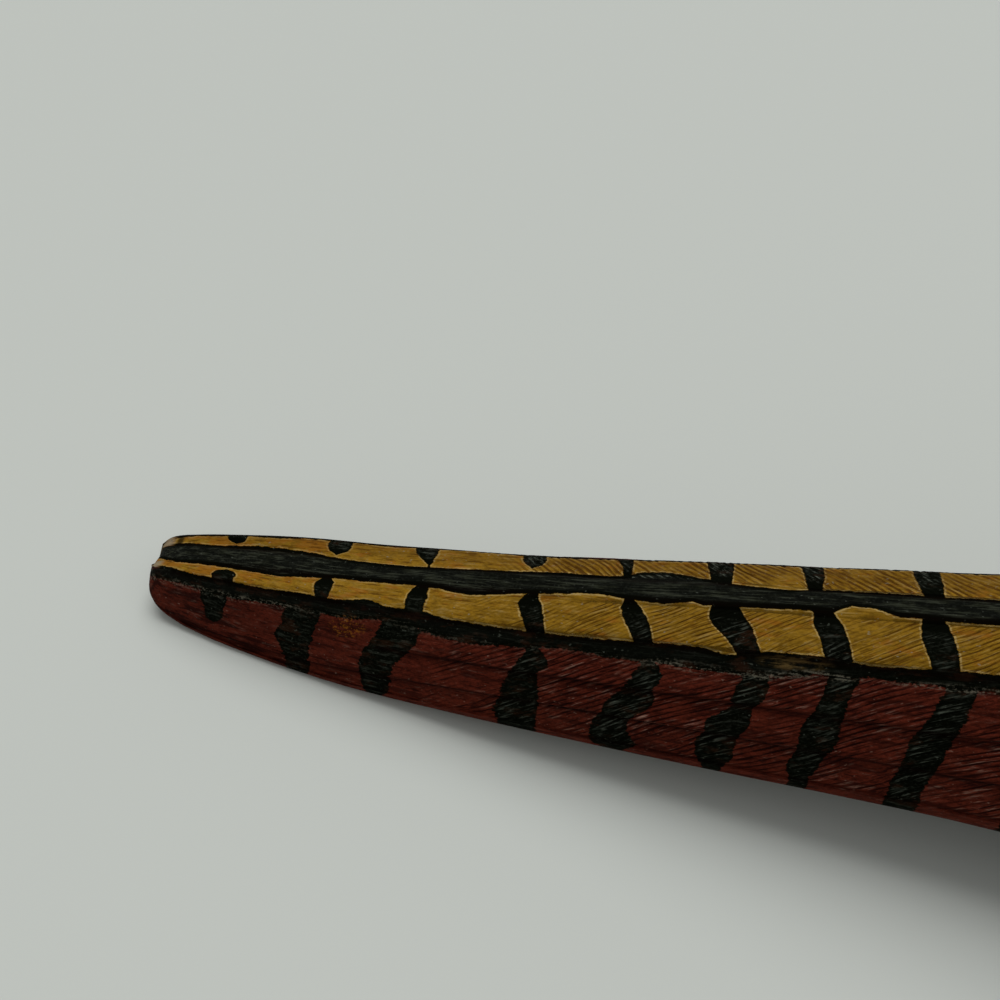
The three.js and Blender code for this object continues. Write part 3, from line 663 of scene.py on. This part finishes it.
def skin_mesh():
    """The whole skin: the tail's rings follow its barbs, and the body's are straight."""
    lines = ring_columns(*TAIL_COLUMNS)
    n = len(lines)
    low, high = SECTIONS[0, 0], float(CUTS_END)
    ends = [barb_number(section_at(np.full(n, x)), np.full(n, x), lines) for x in (low, high)]
    numbers = np.arange(ends[0].min(), ends[1].max(), 1 / RINGS_PER_BARB)
    start = np.full((len(numbers), n), low)
    end = np.full((len(numbers), n), high)
    for _ in range(20):
        half = (start + end) / 2
        before = barb_number(section_at(half), half, lines[None, :] + 0 * half) < numbers[:, None]
        start, end = np.where(before, half, start), np.where(before, end, half)
    along = (start + end) / 2
    first_ring, last_ring = np.arange(n), n + np.arange(n)
    is_first, is_last = along <= low + CLOSE, along >= high - CLOSE
    free = ~is_first & ~is_last
    ids = np.where(is_first, first_ring, last_ring)
    ids[free] = 2 * n + np.arange(free.sum())
    tail_at = np.concatenate([np.full(n, 0.0), np.full(n, section_at(high)), section_at(along[free])])
    tail_line = np.concatenate([lines, lines, np.broadcast_to(lines, along.shape)[free]])
    faces = [grid_faces(np.concatenate([first_ring[None], ids, last_ring[None]]))]

    body_lines = ring_columns(*BODY_COLUMNS)
    m = len(body_lines)
    rows = []
    at = float(section_at(high + 1.2))
    while at < LAST:
        rows.append(at)
        spacing = next(size for end, size in ROW_SPACINGS if at < end)
        at += spacing / max(1e-6, (read_row(PATH, at + 0.01) - read_row(PATH, at)) / 0.01)
    rows = np.array([*rows, LAST])
    body_ids = len(tail_at) + np.arange(len(rows) * m).reshape(len(rows), m)
    faces.append(np.array(strip(last_ring, lines, body_ids[0], body_lines)))
    faces.append(grid_faces(body_ids))
    ats = np.concatenate([tail_at, np.repeat(rows, m)])
    all_lines = np.concatenate([tail_line, np.tile(body_lines, len(rows))])
    positions = lifted(ats, all_lines, relief(ats, all_lines))
    tips, last = len(positions), body_ids[-1]
    faces.append(fan(tips, first_ring, np.roll(first_ring, -1)))
    faces.append(fan(tips + 1, np.roll(last, -1), last))
    positions = np.concatenate([positions, [TAIL_TIP, BEAK_TIP]])
    known = fields(np.concatenate([ats, [0, LAST]]), np.concatenate([all_lines, [0.2, 0.2]]), "skin")
    return positions, np.concatenate(faces), known


def other_side(positions, faces):
    """The same on the right side of the bird."""
    return positions * [1, -1, 1], faces[:, ::-1]


def layer_mesh(edges, spacing, places, lift_at, kind, flip):
    """A layer that stands out of the skin between two edges, with its inner face in the body."""
    stations = np.linspace(edges[0, 0], edges[-1, 0], int(round((edges[-1, 0] - edges[0, 0]) / spacing)) + 1)
    s, n = len(stations), len(places)
    bounds = look_up(edges, stations)
    line = mix(bounds[:, :1], bounds[:, 1:], places[None, :])
    wide = lambda values: np.broadcast_to(values, line.shape)
    at, along, place = wide(section_at(stations)[:, None]), wide(stations[:, None]), wide(places)
    upper, lower = (read(DOWN, at[:, k], line[:, k])[:, None] for k in (0, -1))
    span = np.maximum(0.5, wide(lower) - np.where(line[:, :1] > 0, upper, -wide(lower)))
    outer = lifted(at, line, lift_at(along, place, span, at, line))
    inner = lifted(at, line, np.full(line.shape, -SET_IN))
    positions = np.concatenate([outer.reshape(-1, 3), inner.reshape(-1, 3)])
    top = np.arange(s * n).reshape(s, n)
    under = top + s * n
    quad = lambda a, b, c, d: [triangles(a, b, d), triangles(b, c, d)]
    faces = quad(top[:-1, :-1], top[1:, :-1], top[1:, 1:], top[:-1, 1:])
    faces += quad(under[:-1, :-1], under[:-1, 1:], under[1:, 1:], under[1:, :-1])
    faces += quad(top[:-1, 0], under[:-1, 0], under[1:, 0], top[1:, 0])
    faces += quad(top[:-1, -1], top[1:, -1], under[1:, -1], under[:-1, -1])
    faces += quad(top[0, :-1], top[0, 1:], under[0, 1:], under[0, :-1])
    faces += quad(top[-1, :-1], under[-1, :-1], under[-1, 1:], top[-1, 1:])
    faces = np.concatenate(faces)
    both = lambda v: np.tile(v.reshape(-1), 2)
    known = fields(both(at), both(-line if flip else line), kind, (both(place), both(span)))
    if flip:
        positions, faces = other_side(positions, faces)
    return positions, faces, known


def rounded(place):
    return mix(0.72, 1, smooth(0, 0.12, np.minimum(place, 1 - place)))


def thinning(start, end, along):
    return smooth(0, 1, (along - start) / (end - start))


def wing_lift(along, place, span, at, line):
    thins = mix(1, 0.6, thinning(215, 197, along)) * mix(1, 0.1, thinning(312, 349, along))
    steps = 0
    for k in range(1, WING_FEATHERS):
        steps = steps + shingle((place - k / WING_FEATHERS) * span, 0.7 * span / WING_FEATHERS, 0.3)
    return WING_THICKNESS * rounded(place) * thins + FEATHER_STEP * steps * np.minimum(1, span / 25)


def covert_lift(along, place, span, at, line):
    height = WING_THICKNESS + COVERT_THICKNESS * rounded(place)
    return height * mix(1, 0.2, thinning(312, 349, along)) + 0.8 * scallops(at, line)[0]


def rump_lift(along, place, span, at, line):
    height = RUMP_THICKNESS * rounded(place) + 0.8 * scallops(at, line)[0]
    return mix(height, -0.6, thinning(205, 246, along))


def wattle_lift(along, place, span, at, line):
    return WATTLE_THICKNESS * rounded(place) + 0.12 * drift(along * 3, place * 30, 3, 41)


def bump_mesh(spot, out, radii, flip):
    """A bump on the head. Its paint knows how far each vertex is from its middle, along and round the bird."""
    at, line = section_at(spot[0]), np.array(spot[1])
    rings, sides = 20, 40
    turns = np.linspace(0, 2 * np.pi, sides, endpoint=False)
    ball = [[0, 0, 1]]
    for r in np.linspace(0, np.pi, rings + 1)[1:-1]:
        ball += [[math.sin(r) * math.cos(t), math.sin(r) * math.sin(t), math.cos(r)] for t in turns]
    local = np.array(ball + [[0, 0, -1]]) * radii
    positions = lifted(at, line, out) + local @ np.stack(directions(at, line))
    ids = 1 + np.arange((rings - 1) * sides).reshape(rings - 1, sides)
    faces = np.concatenate([
        grid_faces(ids),
        fan(0, ids[0], np.roll(ids[0], -1)),
        fan(len(ball), np.roll(ids[-1], -1), ids[-1]),
    ])
    same = lambda value: np.full(len(local), float(value))
    known = fields(same(at), same(-line if flip else line), "skin")
    known["feather"] = local
    if flip:
        positions, faces = other_side(positions, faces)
    return positions, faces, known


# Materials.
def set_inputs(tree, node, inputs):
    """Gives a node's inputs a number, a colour, or what another node makes."""
    for key, value in inputs.items():
        value = getattr(value, "socket", value)
        if isinstance(value, bpy.types.NodeSocket):
            tree.links.new(value, node.inputs[key])
        else:
            node.inputs[key].default_value = (*value, 1) if isinstance(value, tuple) else value


def add_node(tree, kind, inputs, **settings):
    node = tree.nodes.new("ShaderNode" + kind)
    for name, value in settings.items():
        setattr(node, name, value)
    set_inputs(tree, node, inputs)
    return node


class Number:
    """A number that changes over the surface, with sums written as usual."""

    def __init__(self, tree, socket):
        self.tree, self.socket = tree, socket

    def op(self, operation, *others, clamp=False):
        inputs = dict(enumerate((self, *others)))
        node = add_node(self.tree, "Math", inputs, operation=operation, use_clamp=clamp)
        return Number(self.tree, node.outputs[0])

    def __rsub__(self, other):
        return (self * -1) + other

    def clamp(self):
        return self.op("ADD", 0.0, clamp=True)

    def ramp(self, low, high):
        """0 at low and 1 at high, and smooth between. High may be the lower number."""
        ends = (low, high, 0, 1) if low < high else (high, low, 1, 0)
        inputs = dict(zip(("Value", "From Min", "From Max", "To Min", "To Max"), (self, *ends)))
        node = add_node(self.tree, "MapRange", inputs, interpolation_type="SMOOTHSTEP")
        return Number(self.tree, node.outputs["Result"])

    def pick(self, zero, one):
        """Between two numbers, by this one from 0 to 1."""
        return self * (one - zero) + zero


for method, operation in {
    "__add__": "ADD", "__radd__": "ADD", "__sub__": "SUBTRACT", "__mul__": "MULTIPLY", "__rmul__": "MULTIPLY",
    "__truediv__": "DIVIDE", "abs": "ABSOLUTE", "floor": "FLOOR", "fract": "FRACT", "sqrt": "SQRT",
    "min": "MINIMUM", "max": "MAXIMUM", "below": "LESS_THAN", "above": "GREATER_THAN",
}.items():
    setattr(Number, method, lambda self, *others, operation=operation: self.op(operation, *others))


class Paint:
    """A painted material, built from numbers and colours."""

    def __init__(self, name, specular=0.035):
        self.material = bpy.data.materials.new(name)
        self.material.use_nodes = True
        self.tree = self.material.node_tree
        self.shader = self.tree.nodes["Principled BSDF"]
        set_inputs(self.tree, self.shader, {"Specular IOR Level": specular})

    def split(self, vector):
        return [Number(self.tree, part) for part in add_node(self.tree, "SeparateXYZ", {0: vector}).outputs]

    def three(self, name):
        """The three numbers that each vertex knows by that name."""
        return self.split(add_node(self.tree, "Attribute", {}, attribute_name=name).outputs["Vector"])

    def noise(self, place, detail=2.0, rough=0.5):
        """A cloudy number, from two or three numbers that say where."""
        vector = add_node(self.tree, "CombineXYZ", dict(enumerate(place))).outputs[0]
        inputs = {"Vector": vector, "Scale": 1, "Detail": detail, "Roughness": rough}
        return Number(self.tree, add_node(self.tree, "TexNoise", inputs).outputs["Fac"])

    def blend(self, share, first, second):
        """Between two colours. Each is three numbers or a colour from here."""
        inputs = {"Factor": share, 6: first, 7: second}
        return add_node(self.tree, "Mix", inputs, data_type="RGBA").outputs[2]

    def coats(self, colour, *coats):
        """Coats of colour over the first one, each with how much it covers."""
        for share, coat in coats:
            colour = self.blend(share, colour, coat)
        return colour

    def finish(self, colour, roughness, height, **more):
        """Height is in millimetres."""
        bump = add_node(self.tree, "Bump", {"Strength": 1, "Distance": 0.001, "Height": height})
        looks = {"Base Color": colour, "Roughness": roughness, "Normal": bump.outputs[0], **more}
        set_inputs(self.tree, self.shader, looks)
        return self.material


def shade(colour, share):
    return tuple(part * share for part in colour)


OCHRE, OCHRE_DARK, OCHRE_PALE = (0.27, 0.143, 0.01), (0.07, 0.027, 0.002), (0.45, 0.32, 0.12)
ORANGE, RUBBED_BROWN = (0.25, 0.085, 0.006), (0.1, 0.062, 0.02)
# The red's dust colour is also put on the red's ridges as a painted glint.
RED, RED_DARK, RED_DUST_AND_GLINT = (0.108, 0.0175, 0.0085), (0.012, 0.0018, 0.001), (0.33, 0.2, 0.15)
# The black's dust colour is also put on the black's ridges as a painted sheen.
BLACK, BLACK_DUST_AND_SHEEN, RUST = (0.0018, 0.0023, 0.001), (0.095, 0.106, 0.083), (0.03, 0.011, 0.005)
DUST, MOSS, UNDER_DARK = (0.42, 0.38, 0.28), (0.014, 0.0155, 0.0075), (0.016, 0.008, 0.006)
GREEN, GREEN_PALE = (0.006, 0.02, 0.012), (0.02, 0.05, 0.035)
CREAM, HORN = (0.42, 0.36, 0.24), (0.2, 0.12, 0.035)
WATTLE_DARK, WATTLE_RED = (0.1, 0.006, 0.004), (0.3, 0.018, 0.01)
IRIS_DARK, IRIS_PALE = (0.28, 0.1, 0.01), (0.4, 0.2, 0.02)
PUPIL, LID = (0.003, 0.003, 0.003), (0.004, 0.003, 0.003)
WOOD, WOOD_DARK, PORES, GRIME = (0.3, 0.17, 0.075), (0.2, 0.1, 0.04), (0.08, 0.035, 0.014), (0.05, 0.03, 0.02)
SHEEN, EYE_SHEEN, FLOOR_SHEEN = 0.035, 0.3, 0.05


def carving_paint():
    p = Paint("painted_carving")
    path, side, under = p.three("place")
    number, strength, seam = p.three("barb")
    a, b, length = p.three("feather")
    red, neck, beak = p.three("zone")
    strokes, count, half = p.three("ink")
    u, v, _ = p.three("ring")
    off_middle = side.abs()

    def spots(along, across, detail, rough):
        return p.noise((along, u * across, v * across), detail, rough)

    grain = spots(path * 0.2, 1.7, 4, 0.7)
    long_lines = spots(path * 0.07 + 22, 2.1, 4, 0.7)
    broad = spots(path * 0.07 + 40, 0.12, 4, 0.5)
    fine = spots(path * 1.5, 2.2, 3, 0.7)
    mottle = spots(path * 0.35 + 91, 0.7, 5, 0.65)
    furrow = spots(path * 0.05 + 63, 0.8, 3, 0.6)
    stain = spots(path * 0.16 + 44, 0.5, 3, 0.6)
    specks = spots(path * 1.2 + 77, 1.9, 1, 0.5)
    ragged = spots(path * 0.6 + 33, 0.9, 4, 0.65) - 0.5

    # The body's feathers: whose free end is next, and how far it and the feather's own middle are.
    def end_of(n):
        across = ((n * 0.5).fract() + b).fract() * 2 - 1
        return n + 1 - across * across * FREE_END, across

    n = a.floor()
    first, first_across = end_of(n)
    second, second_across = end_of(n + 1)
    past = first.below(a)
    own = n + past
    left = (past.pick(first, second) - a) * length
    aside = past.pick(first_across, second_across).abs() * length
    body = own.below(0.5)
    tail = 1 - body
    shaft = aside.ramp(0.35, 0.15) * body

    # The barbs, on the tail and on those feathers.
    bars = ((count + 0.5).fract() - 0.5).abs() - half
    ink = body.pick(strokes.min(bars * BAR_SPACING), left - length * 0.09 - 0.1)
    number = body.pick(number, (aside * 1.45 + left) / 2.6)
    strength = body.pick(strength, 0.55)
    turn = (number + 0.5).fract() - 0.5
    streaks = spots(number * 1.1, 0.7, 3, 0.6)
    scratch = spots(number * 2.1 + 50, 0.55, 3, 0.7)
    groove = strokes.ramp(0.3, -0.3) * off_middle.ramp(5, 6.5) * tail
    barbed = strength * (1 - groove)
    lines = barbed.ramp(0.1, 0.5).pick(off_middle.ramp(3.4, 2.6).max(groove).pick(grain, long_lines), scratch)
    far = side.ramp(2.5, 4) * tail
    uneven = streaks.ramp(0.38, 0.56) * 0.75 + 0.35
    # How much a cut shows there, for its relief and its dark lines. The lines are dirt in the cuts and painted
    # shade in their hollows; they are wider on the tail's left side.
    cut = ((turn.abs() - far * 0.08).ramp(0.25, 0.03) * barbed * uneven).clamp()
    cut_dirt_and_shade = (cut * 1.6).clamp()
    # The barbs' ridges, where pale dust and painted highlights go.
    ridge = turn.abs().ramp(0.12, 0.36) * barbed

    # Where each colour is.
    on_red = (red + ragged * 0.4).ramp(-0.05, 0.05).max(own.above(RUMP_ROW) * body)
    edge = ink + ragged * on_red.pick(0.8, 1.7) + (fine - 0.5) * on_red.pick(0.3, 0.9)
    lobe = path.ramp(3.6, 1.6) * off_middle.ramp(2.1, 2.6) * off_middle.ramp(5.4, 4.6)
    gap = (path + ragged).ramp(3, 3.8) * (path + ragged * 2).ramp(5.4, 4.4) * side.ramp(2, 3) * 0.8
    black = (edge.ramp(0.07, -0.07) * (1 - lobe)).max(gap)
    halo = edge.ramp(0.02, 0.1) * edge.ramp(0.42, 0.18) * mottle.ramp(0.38, 0.52)
    neckish = (neck + ragged * 1.6).ramp(-0.3, 0.3)
    ring = neckish * (neck + ragged * 2).ramp(7.2, 6.6)
    on_quill = off_middle.ramp(5.5, 4.5) * tail
    middle = strokes.ramp(-0.65, -1.15) * on_quill
    # The grooves along the quill's edges are kept dark as painted shade: they get less sheen and fewer pale
    # ridges.
    gutter_shade = strokes.ramp(-1.2, -0.6) * tail * path.ramp(210, 200)
    fringe = strokes.ramp(-1.3, -0.3) * strokes.ramp(0.9, 0.1) * red.ramp(1, 2) * tail * off_middle.ramp(22, 18)
    fringe = fringe * (path.ramp(40, 30) + path.ramp(104, 112) + 0.25).clamp()

    def patch(along, across, half_along, half_across):
        beyond, beside = (path - along) / half_along, (side - across) / half_across
        return (beyond * beyond + beside * beside).ramp(1, 0.2)

    # What dirties and wears it, and the painted shade and highlights on its relief.
    stained = (stain + path.ramp(80, 5) * 0.13).ramp(0.54, 0.68) * 0.65
    # The red is darker towards the tail's tip, with more dark streaks there.
    near_tip = path.ramp(75, 20)
    furrowed = (furrow - near_tip * 0.05).ramp(0.47, 0.36) * (near_tip * 0.25 + 0.6)
    # Pale dust on the red's ridges, which also stands in for the glints that light puts on them: partly a
    # painted highlight.
    dust_and_glints = lines.ramp(0.52, 0.68) * (ridge * 0.8 + 0.2) * stain.ramp(0.38, 0.6) * body.pick(1, 0.5)
    deep = ink.ramp(-0.35, -0.95) * 0.85 + 0.15
    # Pale wear and dust on the black's ridges, which also stand in for the sheen that light puts on them:
    # partly a painted highlight. It is stronger on the tail's left side and weaker in the quill's grooves.
    worn_and_sheen = lines.ramp(0.5, 0.66) * (ridge * 0.8 + 0.25) * deep + fine.ramp(0.48, 0.68) * 0.1
    worn_and_sheen = worn_and_sheen * (1 - groove * 0.6) * (1 - gutter_shade * on_quill) * (far * 0.9 + 1)
    grimy = (mottle.ramp(0.52, 0.36) * 0.4 + fine.ramp(0.46, 0.32) * 0.35).clamp()
    # Darker along the steps between feathers, in the mouth line and in the nostrils: painted shade in these
    # creases, together with the dark paint of the mouth and nostrils.
    crease_shade = (seam.ramp(0.5, 0.1) * 0.5 + seam.ramp(1.5, 0.3) * 0.5) * (mottle.ramp(0.3, 0.6) * 0.5 + 0.5)
    crease_shade = crease_shade * on_red.max(black).max(beak.ramp(-3, 0))

    ochres = p.coats(
        shade(OCHRE, 0.6),
        (mottle.ramp(0.4, 0.58) * 0.55 + fine.ramp(0.38, 0.6) * 0.45, OCHRE),
        (stained.max(red.below(-60) * 0.85), ORANGE),
        (lines.ramp(0.52, 0.66) * (path.ramp(30, 80) * 0.2 + 0.1), OCHRE_PALE),
        (halo * (path.ramp(45, 85) * 0.35 + 0.4), OCHRE_PALE),
        (lines.ramp(0.48, 0.36) * 0.75, OCHRE_DARK),
        (cut_dirt_and_shade * 0.9, OCHRE_DARK),
        # The tail's left side is painted darker: painted shade, as the lamp lights that side more than the
        # right.
        (side.ramp(3, 6) * 0.3 * tail, OCHRE_DARK),
        ((lobe * 0.65 + specks.ramp(0.7, 0.78) * 0.5).clamp(), shade(DUST, 0.6)),
    )
    reds = p.coats(
        shade(RED, 0.4),
        (mottle.ramp(0.38, 0.6) * 0.5 + fine.ramp(0.36, 0.6) * 0.5, RED),
        ((lines.ramp(0.48, 0.34) * 0.85).max(furrowed).max(near_tip * 0.22), RED_DARK),
        # Pale dust on the red, with painted glints on its ridges.
        ((dust_and_glints * 0.7 + specks.ramp(0.7, 0.8) * 0.35).clamp(), RED_DUST_AND_GLINT),
        (cut_dirt_and_shade * 0.92, RED_DARK),
    )
    greens = p.coats(
        GREEN,
        (fine.ramp(0.5, 0.8), GREEN_PALE),
        (scratch.ramp(0.56, 0.7) * stain.ramp(0.42, 0.6) * 0.35, BLACK_DUST_AND_SHEEN),
    )
    blacks = p.coats(
        BLACK,
        (stain.ramp(0.5, 0.62) * mottle.ramp(0.4, 0.6) * 0.5 * off_middle.ramp(5, 7) * tail, RUST),
        (middle * (mottle * 0.3 + long_lines * 0.7).ramp(0.48, 0.62), MOSS),
        # Pale dust on the black, with a painted sheen on its ridges.
        ((worn_and_sheen * 0.75 + specks.ramp(0.7, 0.78) * 0.4).clamp(), BLACK_DUST_AND_SHEEN),
        (cut_dirt_and_shade * 0.92, BLACK),
    )
    colour = p.coats(
        ochres,
        (on_red, reds),
        (neckish, greens),
        (black, blacks),
        (fringe * (long_lines * 0.5 + fine * 0.5).ramp(0.5, 0.6) * 0.6, shade(DUST, 0.4)),
        (patch(*FLECKS) * (fine * 0.6 + specks * 0.4).ramp(0.5, 0.6) * 0.6, ORANGE),
        (patch(*RUBBED) * (mottle * 0.5 + long_lines * 0.5).ramp(0.44, 0.56) * 0.8, RUBBED_BROWN),
        (ring, p.blend(grimy, CREAM, shade(CREAM, 0.4))),
        (beak.ramp(-0.2, 0.2), p.blend(grain, HORN, OCHRE_DARK)),
        (under * 0.8, UNDER_DARK),
        # Painted shade in the steps and creases.
        (crease_shade * 0.8, shade(RED_DARK, 0.3)),
    )
    roughness = fine * 0.25 + broad * 0.12 + black.pick(0.36, 0.3)
    height = (lines - 0.5) * 0.2 + (fine - 0.5) * 0.08 - cut * 0.14 + black * 0.02
    height = height - body * left.min(1.5) * 0.03 - shaft * 0.03
    sheen = SHEEN - black * 0.017 - gutter_shade * 0.015
    return p.finish(colour, roughness, height, **{"Specular IOR Level": sheen})


def wattle_paint():
    p = Paint("painted_wattle", SHEEN)
    path, side, _ = p.three("place")
    fine = p.noise((path * 1.7, side * 1.7), 3)
    return p.finish(p.blend(fine.ramp(0.35, 0.7), WATTLE_DARK, WATTLE_RED), fine * 0.2 + 0.35, fine * 0.35)


def eye_paint():
    p = Paint("painted_eye", EYE_SHEEN)
    u, v, _ = p.three("feather")
    fine = p.noise((u * 3, v * 3), 2)
    uneven = (u * u + v * v).sqrt() + fine * 0.15
    iris = p.blend(fine.ramp(0.3, 0.7), IRIS_DARK, IRIS_PALE)
    colour = p.coats(iris, (uneven.ramp(1.35, 1.2), PUPIL), (uneven.ramp(2.15, 2.3), LID))
    return p.finish(colour, fine * 0.1 + 0.08, fine * 0.02)


def wood_paint():
    p = Paint("bare_wood", SHEEN)
    x, y, z = (part * 1000 for part in p.split(add_node(p.tree, "TexCoord", {}).outputs["Object"]))
    rings = p.noise((x * 0.02, y * 0.6, z * 0.6), 3)
    pores = p.noise((x * 0.25, y * 4, z * 4), 2)
    dirt = p.noise((x * 0.06, y * 0.09, z * 0.09), 4)
    colour = p.coats(
        p.blend(rings.ramp(0.35, 0.65), WOOD_DARK, WOOD),
        (pores.ramp(0.42, 0.3) * 0.6, PORES),
        (dirt.ramp(0.45, 0.7) * 0.6, GRIME),
    )
    return p.finish(colour, pores * 0.2 + 0.5, pores * 0.06)


MATERIALS = [carving_paint(), wattle_paint(), eye_paint(), wood_paint()]
CARVING, WATTLE, EYE_PAINT, BARE = range(4)


def place_object(name, data):
    made = bpy.data.objects.new(name, data)
    bpy.context.scene.collection.objects.link(made)
    return made


def as_object(name, positions, faces, known, material):
    """A mesh object of these triangles, in metres, with what each vertex knows."""
    mesh = bpy.data.meshes.new(name)
    mesh.from_pydata((positions - np.array([MIDDLE, 0, 0])) / 1000, [], faces, shade_flat=False)
    mesh.polygons.foreach_set("material_index", np.full(len(faces), material, np.int32))
    for paint in MATERIALS:
        mesh.materials.append(paint)
    for field, values in known.items():
        data = values[faces].astype(np.float32)
        mesh.attributes.new(field, "FLOAT_VECTOR", "CORNER").data.foreach_set("vector", data.ravel())
    mesh.validate()
    return place_object(name, mesh)


def join_solid(body, other, operation="UNION"):
    cut = body.modifiers.new("join", "BOOLEAN")
    cut.operation, cut.object, cut.solver = operation, other, "MANIFOLD"
    bpy.context.view_layer.update()
    seen = body.evaluated_get(bpy.context.evaluated_depsgraph_get())
    mesh = bpy.data.meshes.new_from_object(seen)
    body.modifiers.remove(cut)
    old = body.data
    body.data = mesh
    bpy.data.meshes.remove(old)
    bpy.data.objects.remove(other)


def under_surface():
    """The block below the surface, which cuts the belly flat."""
    corners = np.array([[x, y, z] for x in (-60, 460) for y in (-90, 90) for z in (-40, 0)], float)
    faces = [(0, 1, 3), (0, 3, 2), (4, 6, 7), (4, 7, 5), (0, 4, 5), (0, 5, 1), (2, 3, 7), (2, 7, 6), (0, 2, 6),
             (0, 6, 4), (1, 5, 7), (1, 7, 3)]
    return as_object("under", corners, faces, {}, BARE)


def carving():
    body = as_object("pheasant_carved", *skin_mesh(), CARVING)
    evenly = lambda n: np.linspace(0, 1, n)
    steps = np.arange(1, WING_FEATHERS) / WING_FEATHERS
    wing_places = np.unique(np.concatenate([evenly(46), steps - 0.008, steps + 0.008]))
    layers = []
    for flip in (False, True):
        layers += [
            (layer_mesh(WING_EDGES, 1.3, wing_places, wing_lift, "wing", flip), CARVING),
            (layer_mesh(COVERT_EDGES, 1.1, evenly(52), covert_lift, "covert", flip), CARVING),
            (layer_mesh(WATTLE_EDGES, 0.6, evenly(22), wattle_lift, "skin", flip), WATTLE),
            (bump_mesh(EYE, EYE_OUT, (EYE_RADIUS,) * 3, flip), EYE_PAINT),
            (bump_mesh(TUFT, TUFT_OUT, TUFT_RADII, flip), CARVING),
        ]
    layers.append((layer_mesh(RUMP_EDGES, 1.1, evenly(56), rump_lift, "rump", False), CARVING))
    for k, (layer, material) in enumerate(layers):
        join_solid(body, as_object(f"layer_{k}", *layer, material))
    join_solid(body, under_surface(), "DIFFERENCE")
    body.data.name = "pheasant_carved"
    body.data.polygons.foreach_set("use_smooth", np.ones(len(body.data.polygons), bool))
    body.data.set_sharp_from_angle(angle=math.radians(SHARP_ANGLE))
    return body


bird = carving()
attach(bird, "root")
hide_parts("pheasant")

# The floor, the light and the camera, in metres and degrees.
FLOOR_HALF, FLOOR_COLOUR, FLOOR_ROUGHNESS = 12.0, (0.59, 0.618, 0.58), 0.75
LOW_SKY, HIGH_SKY, SKY_TURNS = (0.53, 0.56, 0.525), (0.365, 0.365, 0.365), (0.05, 0.4)
LAMP_POWER, LAMP_ANGLE, LAMP_TURN = 1.75, 50, (-26, -6, 0)
CAMERA_AT, CAMERA_TURN = (-0.08612, -0.13225, 0.18282), (45, 0, 16)
LENS, SENSOR, NEAREST = 40, 36, 0.01
radians = lambda angles: [math.radians(angle) for angle in angles]


def floor_object():
    mesh = bpy.data.meshes.new("floor")
    corners = [(x * FLOOR_HALF, y * FLOOR_HALF, 0) for x, y in ((-1, -1), (1, -1), (1, 1), (-1, 1))]
    mesh.from_pydata(corners, [], [(0, 1, 2, 3)])
    p = Paint("pale_floor", FLOOR_SHEEN)
    set_inputs(p.tree, p.shader, {"Base Color": FLOOR_COLOUR, "Roughness": FLOOR_ROUGHNESS})
    mesh.materials.append(p.material)
    return place_object("floor", mesh)


floor_object()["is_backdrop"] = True

lamp = bpy.data.lights.new("soft_top", "SUN")
lamp.energy, lamp.angle = LAMP_POWER, math.radians(LAMP_ANGLE)
place_object("soft_top", lamp).rotation_euler = radians(LAMP_TURN)

world = bpy.data.worlds.new("soft_room")
world.use_nodes = True
room = world.node_tree
towards = add_node(room, "TexCoord", {}).outputs["Generated"]
upward = Number(room, add_node(room, "SeparateXYZ", {0: towards}).outputs[2]).ramp(*SKY_TURNS)
sky = add_node(room, "Mix", {"Factor": upward, 6: LOW_SKY, 7: HIGH_SKY}, data_type="RGBA")
set_inputs(room, room.nodes["Background"], {"Color": sky.outputs[2], "Strength": 1.0})
bpy.context.scene.world = world
bpy.context.scene.view_settings.view_transform = "Standard"

camera = bpy.data.cameras.new("camera")
camera.lens, camera.sensor_width, camera.clip_start = LENS, SENSOR, NEAREST
camera_object = place_object("camera", camera)
camera_object.location, camera_object.rotation_euler = CAMERA_AT, radians(CAMERA_TURN)
bpy.context.scene.camera = camera_object

as_lists = lambda box: [list(map(float, corner)) for corner in box]
{"cad": as_lists(cad_box), "visual": as_lists(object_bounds())}
